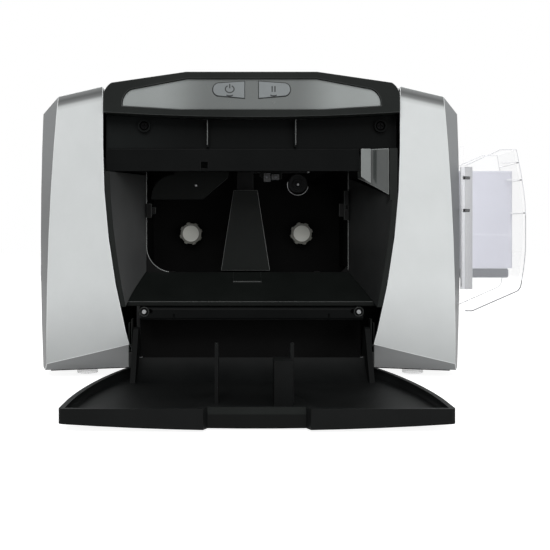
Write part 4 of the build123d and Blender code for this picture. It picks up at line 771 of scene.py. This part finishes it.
# The bay's black is darker than the other mouldings: painted shade for its deep interior.
deep_black = moulded("bay_black", srgb(4, 4, 4), srgb(8, 8, 8), 0.65, Specular_IOR_Level=0.06)
for node in ("bay_frame", "bay_moulding", "lower_panel"):
    softened(node, deep_black, None, 0.0004, 28, 2)
highlight_bead = moulded("painted_bead_highlight", srgb(78, 80, 79), srgb(92, 94, 93), 0.22)
bay_left, bay_right, bay_low, bay_corner = -88.0, 83.0, 87.0, 22.0
bead_y = 55.9
fascia_ribs = (-35.0, 35.2)
rib_front = 3.8
left_run = [(bay_left, 181.0)]
left_run += arc((bay_left + bay_corner, bay_low + bay_corner), (bay_corner, bay_corner), 180, 262, 14)
right_run = [(bay_right, 181.0), (bay_right, bay_low + 2.0)]
beads("bay_edge_beads", [[at(x, bead_y, z) for x, z in run] for run in (left_run, right_run)], 0.45,
      "printer", highlight_bead, "black_plastic")
# A dark bead round each key's face: painted shade in the gap between the key and the panel.
key_gaps = []
for node in ("power_button", "pause_button"):
    key_face = grown_outline(flat_outline(node, 1, 0), 0.66 * millimetre)
    key_gaps.append([Vector((p.x, at(0, -4.0, 0).y, p.z)) for p in key_face])
beads("key_gaps", key_gaps, 0.32, "printer", gap_dark, "black_plastic", True)
# The fascia's ribs carry the same lighter bead: a painted highlight along their front edge.
rib_lines = [[at(x, rib_front, 190.0), at(x, rib_front, 210.0)] for x in fascia_ribs]
beads("fascia_rib_lines", rib_lines, 0.3, "printer", highlight_bead, "black_plastic")
plate_black = moulded("plate_black", srgb(5, 7, 6), srgb(8, 10, 9), 0.5, Specular_IOR_Level=0.06)
plate_edge = moulded("plate_edge", srgb(24, 26, 25), srgb(30, 32, 31), 0.35, Specular_IOR_Level=0.2)
hanging = arc((-64.3, 150.0), (20.0, 20.0), 184, 92, 12)
hanging += [(-60.0, 183.5), (-17.3, 183.5), (-19.0, 167.0), (-29.0, 158.5), (-40.3, 148.8), (-84.0, 148.6)]
plates("hanging_plate", [hanging], 59.1, 61.1, "printer", plate_black, plate_edge, 0.0004)


# ---- rivets and the ribbon sensor in the bay ----
# Small turned pins in the plate, and a sensor on a bracket above the post that reads the ribbon's marks.
def turned(name, centre, depths, radii, body, finish, around=24):
    """A turned piece along Y: a list of depths and the radius at each."""
    work = bmesh.new()
    rings = []
    for depth, radius in zip(depths, radii):
        turns = [2 * math.pi * i / around for i in range(around)]
        rings.append([work.verts.new(at(centre[0] + radius * math.cos(t), depth, centre[1] + radius * math.sin(t)))
                      for t in turns])
    for near, far in zip(rings, rings[1:]):
        for i in range(around):
            j = (i + 1) % around
            work.faces.new((near[i], near[j], far[j], far[i]))
    work.faces.new(rings[0])
    work.faces.new(rings[-1])
    mesh = rounded(work, name, 0.0001, 50, 1)
    return piece_of(name, mesh, body, finish, None)


turned("plate_rivet", (-46.2, 160.6), (58.5, 58.5 + 0.3, 59.2), (0.6, 1.0, 1.1), "printer", bright_steel)
turned("arm_pin", (49.5, 172.0), (60.0, 60.3, 66.0), (0.7, 0.9, 0.9), "printer", bright_steel)
sensor_black = moulded("sensor_black", srgb(20, 21, 22), srgb(27, 28, 29), 0.3)
sensor_edge = moulded("sensor_edge", srgb(70, 72, 74), srgb(84, 86, 88), 0.3)
bracket = [(8.0, 168.5), (12.0, 166.0), (27.0, 166.0), (27.0, 183.5), (8.0, 183.5)]
plates("sensor_bracket", [bracket], 59.1, 60.3, "printer", plate_black, plate_edge)
sensor_blocks = [oblong(11.5, 163.6, 17.0, 171.0), oblong(18.0, 165.2, 24.5, 170.0)]
plates("ribbon_sensor", sensor_blocks, 56.5, 59.2, "printer", sensor_black, sensor_edge)
for name, x in (("sensor_eye_a", 14.0), ("sensor_eye_b", 21.5)):
    turned(name, (x, 167.6), (56.0, 56.2, 56.8), (0.9, 1.2, 1.2), "printer", moulded(name + "_glass",
           srgb(80, 82, 86), srgb(96, 98, 102), 0.12))

# ---- ribbon hubs and clips ----
# Pale acetal hubs that key into the ribbon's cores, each in a darker ring with teeth; the clips are sprung nylon.
hub_pale = moulded("hub_face", srgb(218, 219, 211), srgb(226, 227, 219), 0.42)
hub_ring = moulded("hub_ring", srgb(128, 128, 120), srgb(140, 140, 132), 0.45)
hub_z = 119.8
hub_disc = 7.4
for node, hub_x in (("takeup_hub", -53.0), ("supply_hub", 47.5)):
    softened(node, hub_ring, hub_ring, 0.0004, 28, 2)
    turned(node + "_cap", (hub_x, hub_z), (112.6, 112.8, 113.3), (hub_disc - 0.4, hub_disc, hub_disc),
           body_of[node], hub_pale, 32)
clip_black = moulded("clip_black", srgb(5, 5, 5), srgb(8, 8, 8), 0.45, Specular_IOR_Level=0.05)
clip_edge = moulded("clip_edge", srgb(28, 30, 29), srgb(34, 36, 35), 0.35, Specular_IOR_Level=0.15)
softened("ribbon_clips", clip_black, clip_edge, 0.0005, 28, 2)

# ---- print head: its cover over the post, the head, the lift arm and the cam that lowers it ----
# The cover is a tapered black moulding whose edges take a lighter finish, a painted highlight; the cam is black
# acetal, and a bright steel arc along its lower rim stands in for the highlight there.
post_black = moulded("post_black", srgb(13, 15, 14), srgb(17, 19, 18), 0.5, Specular_IOR_Level=0.06)
post_edge = moulded("post_edge", srgb(74, 76, 75), srgb(88, 90, 89), 0.3)
post = softened("head_cover", post_black, post_edge, 0.0006, 28, 2)
inner_wall = at(0, 68.5, 0).y  # level with the end of the platen's rubber, so it is let back by a hair
for vertex in post.data.vertices:
    if abs(vertex.co.y - inner_wall) < 0.01 * millimetre:
        vertex.co.y -= 0.08 * millimetre
head_grey = moulded("head_alloy", srgb(120, 121, 123), srgb(134, 135, 137), 0.35, Metallic=1.0)
wear(nodes["printhead"], head_grey)
arm_dark = moulded("arm_dark", srgb(10, 11, 12), srgb(15, 16, 17), 0.5, Specular_IOR_Level=0.12)
softened("head_arm", arm_dark, plate_edge, 0.0004, 28, 2)
cam_x, cam_z = 43.0, 163.3
softened("head_cam", arm_dark, plate_edge, 0.0004, 28, 2)
rim_highlight = [at(x, 98.4, z) for x, z in arc((cam_x, cam_z), (9.3, 9.3), 165, 350, 24)]
beads("cam_track", [rim_highlight], 0.4, "head_cam", bright_steel, "steel")
turned("cam_pin", (cam_x, cam_z), (95.4, 95.6, 96.2), (0.8, 1.1, 1.1), "head_cam", bright_steel)

# ---- ledge, sill bar and the pillars beside the hinge ----
# The ledge slopes up into the bay; the sill bar under it is screwed on at both ends, in round bosses.
ledge_black = moulded("ledge_black", srgb(10, 12, 11), srgb(14, 16, 15), 0.5, Specular_IOR_Level=0.06)
ledge_edge = moulded("ledge_edge", srgb(24, 26, 25), srgb(31, 33, 32), 0.35, Specular_IOR_Level=0.15)
softened("front_ledge", ledge_black, ledge_edge, 0.0004, 28, 2)
sill_black = moulded("sill_black", srgb(5, 6, 6), srgb(8, 9, 9), 0.5, Specular_IOR_Level=0.04)
softened("sill_bar", sill_black, ledge_edge, 0.0006, 28, 3)
boss_rings = []
for x, z in ((-85.0, 57.6), (85.0, 57.6)):
    boss_rings.append([at(px, 2.9, pz) for px, pz in arc((x, z), (3.5, 3.5), 0, 345, 23)])
# The bosses' rims are beads in the ledge's lighter edge finish: a painted highlight.
beads("screw_bosses", boss_rings, 0.5, "printer", ledge_edge, "black_plastic", True)
pillar_ribs = []
for hand in (-1, 1):
    for x, low, high in ((94.3, 12.0, 52.0), (96.4, 10.0, 49.0)):
        pillar_ribs.append(oblong(min(hand * x, hand * (x + 0.9)), low, max(hand * x, hand * (x + 0.9)), high))
plates("hinge_pillars", pillar_ribs, 1.5, 12.0, "printer", sill_black, ledge_edge)

# ---- front cover ----
# One large black moulding, hinged at its rear corners, with a rim, two fins, a stop block and a finger notch.
cover_black = moulded("cover_black", srgb(8, 9, 9), srgb(13, 14, 14), 0.45, Specular_IOR_Level=0.07)
cover = softened("front_cover", cover_black, black_edge, 0.0006, 28, 2)
# The notch's front face is painted lighter than the cover along its top and much darker below: painted light and
# shade.
notch_black = moulded("notch_black", srgb(19, 21, 20), srgb(24, 26, 25), 0.45, Specular_IOR_Level=0.07)
shade_along(notch_black, "Z", 0.0, 0.0145, [(0.0, 0.22), (0.66, 0.22), (0.74, 1.0), (1.0, 1.0)])
for finish in (notch_black, fascia_black, fascia_edge):
    cover.data.materials.append(finish)
arm_inside, rim_top, notch_face = 0.086, 0.0152, at(0, -180, 0).y
for face in cover.data.polygons:
    if abs(face.center.x - middle_x) > arm_inside and face.center.z > rim_top:
        face.material_index = 4 if face.material_index == 1 else 3
    elif face.normal.y < -0.9 and abs(face.center.y - notch_face) < 0.2 * millimetre:
        face.material_index = 2

# ---- wall between the bay and the hopper ----
# A plain black plate inside the right shell, over the card path, that keeps light and dust out of the bay.
plates("hopper_wall", [oblong(126.6, 96.0, 127.6, 212.0)], 15.0, 128.0, "printer", deep_black)

# ---- card hopper: its clear cover ----
# A clear shell that swings open on two pins. Its walls vanish against the room, so that only the rolled edges
# and the ribs round its outer wall show, as grey beads: a painted reflection of the clear edges, paler at the
# back and on the ribs, darker low down and at the rib ends.
clear, tree, output = new_material("clear_plastic")
shader = tree.nodes.new("ShaderNodeBsdfPrincipled")
shader.inputs["Base Color"].default_value = srgb(236, 237, 239)
shader.inputs["Roughness"].default_value = 0.06
shader.inputs["Alpha"].default_value = 0.07
tree.links.new(shader.outputs[0], output.inputs["Surface"])
softened("hopper_cover", clear, None, 0.0003, 28, 1)


painted_rim_reflection = moulded("clear_edge", srgb(206, 207, 210), srgb(214, 215, 218), 0.25)
edge_pale = moulded("clear_edge_pale", srgb(228, 229, 231), srgb(234, 235, 237), 0.25)
edge_grey = moulded("clear_edge_grey", srgb(168, 169, 172), srgb(178, 179, 182), 0.3)
edge_deep = moulded("clear_edge_deep", srgb(112, 113, 116), srgb(124, 125, 128), 0.3, Specular_IOR_Level=0.2)
cover_low, cover_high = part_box("hopper_cover")
rim_radius = 0.38
near_rim = flat_outline("hopper_cover", 1, 0)
near_shift = Vector((0, rim_radius * millimetre, 0))
far_shift = Vector((0, cover_high[1] - cover_low[1] - rim_radius * millimetre, 0))
outer_x = cover_high[0] - 0.5 * millimetre  # the beads stay inside the cover's outer wall
near_run = [Vector((min(p.x, outer_x), p.y, p.z)) + near_shift for p in near_rim]
far_run = [Vector((min(p.x, outer_x), p.y, p.z)) + far_shift for p in near_rim]
high_run = [near_run[-1]] + [p for p in near_run[:-1] if p.z >= 0.128]
middle_run = [p for p in near_run if 0.078 <= p.z <= 0.136 and p.x > outer_x - 0.01]
low_run = [p for p in near_run if p.z <= 0.0798]
beads("hopper_rim", [high_run], rim_radius, "hopper_cover", painted_rim_reflection, "clear_plastic")
beads("hopper_middle_rim", [middle_run], rim_radius, "hopper_cover", edge_grey, "clear_plastic")
beads("hopper_low_rim", [low_run], rim_radius + 0.12, "hopper_cover", edge_deep, "clear_plastic")
beads("hopper_far_rim", [far_run], rim_radius, "hopper_cover", edge_pale, "clear_plastic", True)


def wall_x(z):
    """Where the cover's outer wall stands at a height, read from its front outline."""
    crossings = []
    for one, other in zip(near_rim, near_rim[1:]):
        low, high = sorted((one, other), key=lambda p: p.z)
        if low.z <= z * millimetre < high.z:
            share = (z * millimetre - low.z) / (high.z - low.z)
            crossings.append((low.x + (high.x - low.x) * share - middle_x) / millimetre)
    return max(crossings)


cover_front = (cover_low[1] - front_y) / millimetre
cover_back = (cover_high[1] - front_y) / millimetre
ribs, rib_ends = [], []
for z, inward in ((180.4, 14.0), (165.6, 13.0), (137.3, 13.0)):
    x = wall_x(z) - 0.3
    ribs.append([at(x - inward, cover_front + 0.3, z), at(x, cover_front + 0.3, z),
                 at(x, cover_back - 0.3, z)])
    rib_ends.append([at(x - 2.0, cover_front + 0.3, z), at(x - 0.2, cover_front + 0.3, z)])
beads("hopper_ribs", ribs, 0.4, "hopper_cover", edge_pale, "clear_plastic")
beads("hopper_rib_ends", rib_ends, 0.5, "hopper_cover", edge_deep, "clear_plastic")

# ---- card hopper: frame, guide column and tray ----
# Frosted and pale grey mouldings outside the right shell; very dark plates fill the column's two slots, as painted
# shade in them.
frost = moulded("frosted_plastic", srgb(204, 205, 208), srgb(212, 213, 216), 0.5, Specular_IOR_Level=0.3)
frost_edge = moulded("frosted_edge", srgb(206, 208, 211), srgb(216, 218, 221), 0.4)
column_low, column_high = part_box("guide_column")
# The column's frosted colour is painted darker over its right part: painted shade.
shade_along(frost, "X", column_low[0], column_high[0], [(0.0, 1.0), (0.3, 1.0), (0.4, 0.66), (1.0, 0.56)])
softened("guide_column", frost, frost_edge, 0.0004, 28, 2)
softened("hopper_frame", clear, None, 0.0004, 28, 1)
rubber = moulded("rubber", srgb(22, 22, 22), srgb(28, 28, 28), 0.7, Specular_IOR_Level=0.2)
# Very dark plates in the column's slots: painted shade.
stops = [oblong(182.7, z + 0.2, 188.6, z + 2.8) for z in (138.0, 166.0)]
plates("column_stops", stops, 66.6, 67.6, body_of["guide_column"], deep_black, None, 0.0003, "rubber")
tray_grey = moulded("tray_grey", srgb(95, 98, 103), srgb(104, 107, 112), 0.45, Specular_IOR_Level=0.25)
tray_edge = moulded("tray_edge", srgb(150, 153, 158), srgb(160, 163, 168), 0.4)
softened("card_tray", tray_grey, tray_edge, 0.0006, 28, 2)


# ---- stack of blank cards ----
# White PVC cards with round corners, a fraction out of line with each other, as they lie in the hopper.
def stack_tree():
    """Copies of the start mesh, one above the other, each a little out of line."""
    tree, start, end = geometry_tree("card_pile", [("Count", "Int"), ("Pitch", "Float"), ("Stray", "Float"),
                                                   ("Seed", "Int"), ("Material", "Material")])
    line = tree.nodes.new("GeometryNodeMeshLine")
    rise = tree.nodes.new("ShaderNodeCombineXYZ")
    least = tree.nodes.new("ShaderNodeCombineXYZ")
    most = tree.nodes.new("ShaderNodeCombineXYZ")
    flip = tree.nodes.new("ShaderNodeMath")
    flip.operation = "MULTIPLY"
    flip.inputs[1].default_value = -1.0
    stray = tree.nodes.new("FunctionNodeRandomValue")
    stray.data_type = "FLOAT_VECTOR"
    shift = tree.nodes.new("GeometryNodeSetPosition")
    pile = tree.nodes.new("GeometryNodeInstanceOnPoints")
    real = tree.nodes.new("GeometryNodeRealizeInstances")
    paint = tree.nodes.new("GeometryNodeSetMaterial")
    join = tree.links.new
    join(start.outputs["Count"], line.inputs["Count"])
    join(start.outputs["Pitch"], rise.inputs["Z"])
    join(rise.outputs[0], line.inputs["Offset"])
    join(start.outputs["Stray"], flip.inputs[0])
    for axis in ("X", "Y"):
        join(start.outputs["Stray"], most.inputs[axis])
        join(flip.outputs[0], least.inputs[axis])
    join(least.outputs[0], stray.inputs["Min"])
    join(most.outputs[0], stray.inputs["Max"])
    join(start.outputs["Seed"], stray.inputs["Seed"])
    join(line.outputs["Mesh"], shift.inputs["Geometry"])
    join(stray.outputs["Value"], shift.inputs["Offset"])
    join(shift.outputs["Geometry"], pile.inputs["Points"])
    join(start.outputs["Geometry"], pile.inputs["Instance"])
    join(pile.outputs["Instances"], real.inputs["Geometry"])
    join(real.outputs["Geometry"], paint.inputs["Geometry"])
    join(start.outputs["Material"], paint.inputs["Material"])
    join(paint.outputs["Geometry"], end.inputs["Geometry"])
    return tree


def card_mesh(low, high, thickness, corner):
    """One card at the foot of the pile, with its four corners rounded."""
    outline = []
    centres = [(high[0] - corner, high[1] - corner, 0), (low[0] + corner, high[1] - corner, 90),
               (low[0] + corner, low[1] + corner, 180), (high[0] - corner, low[1] + corner, 270)]
    for cx, cy, start in centres:
        outline += arc((cx, cy), (corner, corner), start, start + 90, 5)
    work = bmesh.new()
    bottom = [work.verts.new((x, y, low[2])) for x, y in outline]
    top = [work.verts.new((x, y, low[2] + thickness)) for x, y in outline]
    work.faces.new(list(reversed(bottom)))
    work.faces.new(top)
    for i in range(len(outline)):
        j = (i + 1) % len(outline)
        work.faces.new((bottom[i], bottom[j], top[j], top[i]))
    mesh = bpy.data.meshes.new("one_card")
    work.to_mesh(mesh)
    work.free()
    return mesh


card_thickness = 0.76 * millimetre
card_air = 0.06 * millimetre
card_corner = 3.18 * millimetre
card_stray = 0.12 * millimetre
stack_low, stack_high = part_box("card_stack")
card_count = round((stack_high[2] - stack_low[2]) / card_thickness)
card_pitch = (stack_high[2] - stack_low[2]) / card_count
card_white = moulded("card_white", srgb(209, 210, 221), srgb(214, 215, 226), 0.35, Specular_IOR_Level=0.3)
# The cards are painted darker towards the right of the stack: painted shade.
shade_along(card_white, "X", stack_low[0], stack_high[0], [(0.0, 1.0), (0.4, 1.0), (0.55, 0.92), (1.0, 0.84)])
one_card = card_mesh(stack_low, stack_high, card_pitch - card_air, card_corner)
cards = grown("blank_cards", stack_tree(), one_card, body_of["card_stack"], card_white, "card_white",
              Count=card_count, Pitch=card_pitch, Stray=card_stray, Seed=7)
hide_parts("card_stack")

# ---- rollers, gears and shafts of the card path ----
# Rubber sleeves on steel shafts, nylon gears and brass pinions between two steel plates, hidden behind the bay.
steel = moulded("steel", srgb(150, 151, 152), srgb(170, 171, 172), 0.3, Metallic=1.0)
for node in ("mech_plate", "front_rail", "guide_rods", "hinge_pins"):
    wear(nodes[node], steel)
brass = moulded("brass", srgb(190, 160, 100), srgb(205, 175, 115), 0.3, Metallic=1.0)
for node in ("roller_bushings", "drive_pinion", "ribbon_pinion"):
    wear(nodes[node], brass)
for node in ("platen_roller", "feed_roller", "exit_roller", "pick_roller"):
    wear(nodes[node], rubber)
nylon = moulded("nylon", srgb(205, 203, 192), srgb(215, 213, 202), 0.45)
for node in ("platen_gear", "feed_gear", "exit_gear", "feed_idler", "exit_idler", "takeup_gear"):
    wear(nodes[node], nylon)
dark_grey = moulded("dark_grey", srgb(50, 52, 54), srgb(60, 62, 64), 0.5)
wear(nodes["encoder_wheel"], dark_grey)

# ---- motors and circuit boards ----
# Blackened stepper motors bolted to the plates, and green glass-fibre boards.
motor = moulded("motor_black", srgb(30, 30, 32), srgb(38, 38, 40), 0.4, Metallic=0.6)
for node in ("drive_motor", "ribbon_motor", "head_motor", "pick_motor"):
    wear(nodes[node], motor)
board = moulded("board_green", srgb(20, 70, 45), srgb(28, 84, 55), 0.4)
for node in ("main_board", "button_board"):
    wear(nodes[node], board)

# ---- rear sockets and feet ----
# The power inlet and the data port sit in a dark moulding, over a lip that closes the pan at the back. The four
# feet are glued bumpers of clear silicone, which the photograph's white ground swallows.
softened("rear_sockets", dark_grey, black_edge, 0.0003, 28, 2)
plates("pan_rear_lip", [oblong(-150.0, 4.5, 150.0, 10.5)], 229.4, 230.8, "printer", black, None)
bumper = moulded("bumper_silicone", srgb(196, 197, 199), srgb(206, 207, 209), 0.4, Alpha=0.3)
softened("rubber_feet", bumper, None, 0.0005, 28, 2)

size = {"cad": [list(corner) for corner in cad_box], "visual": [list(corner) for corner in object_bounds()]}
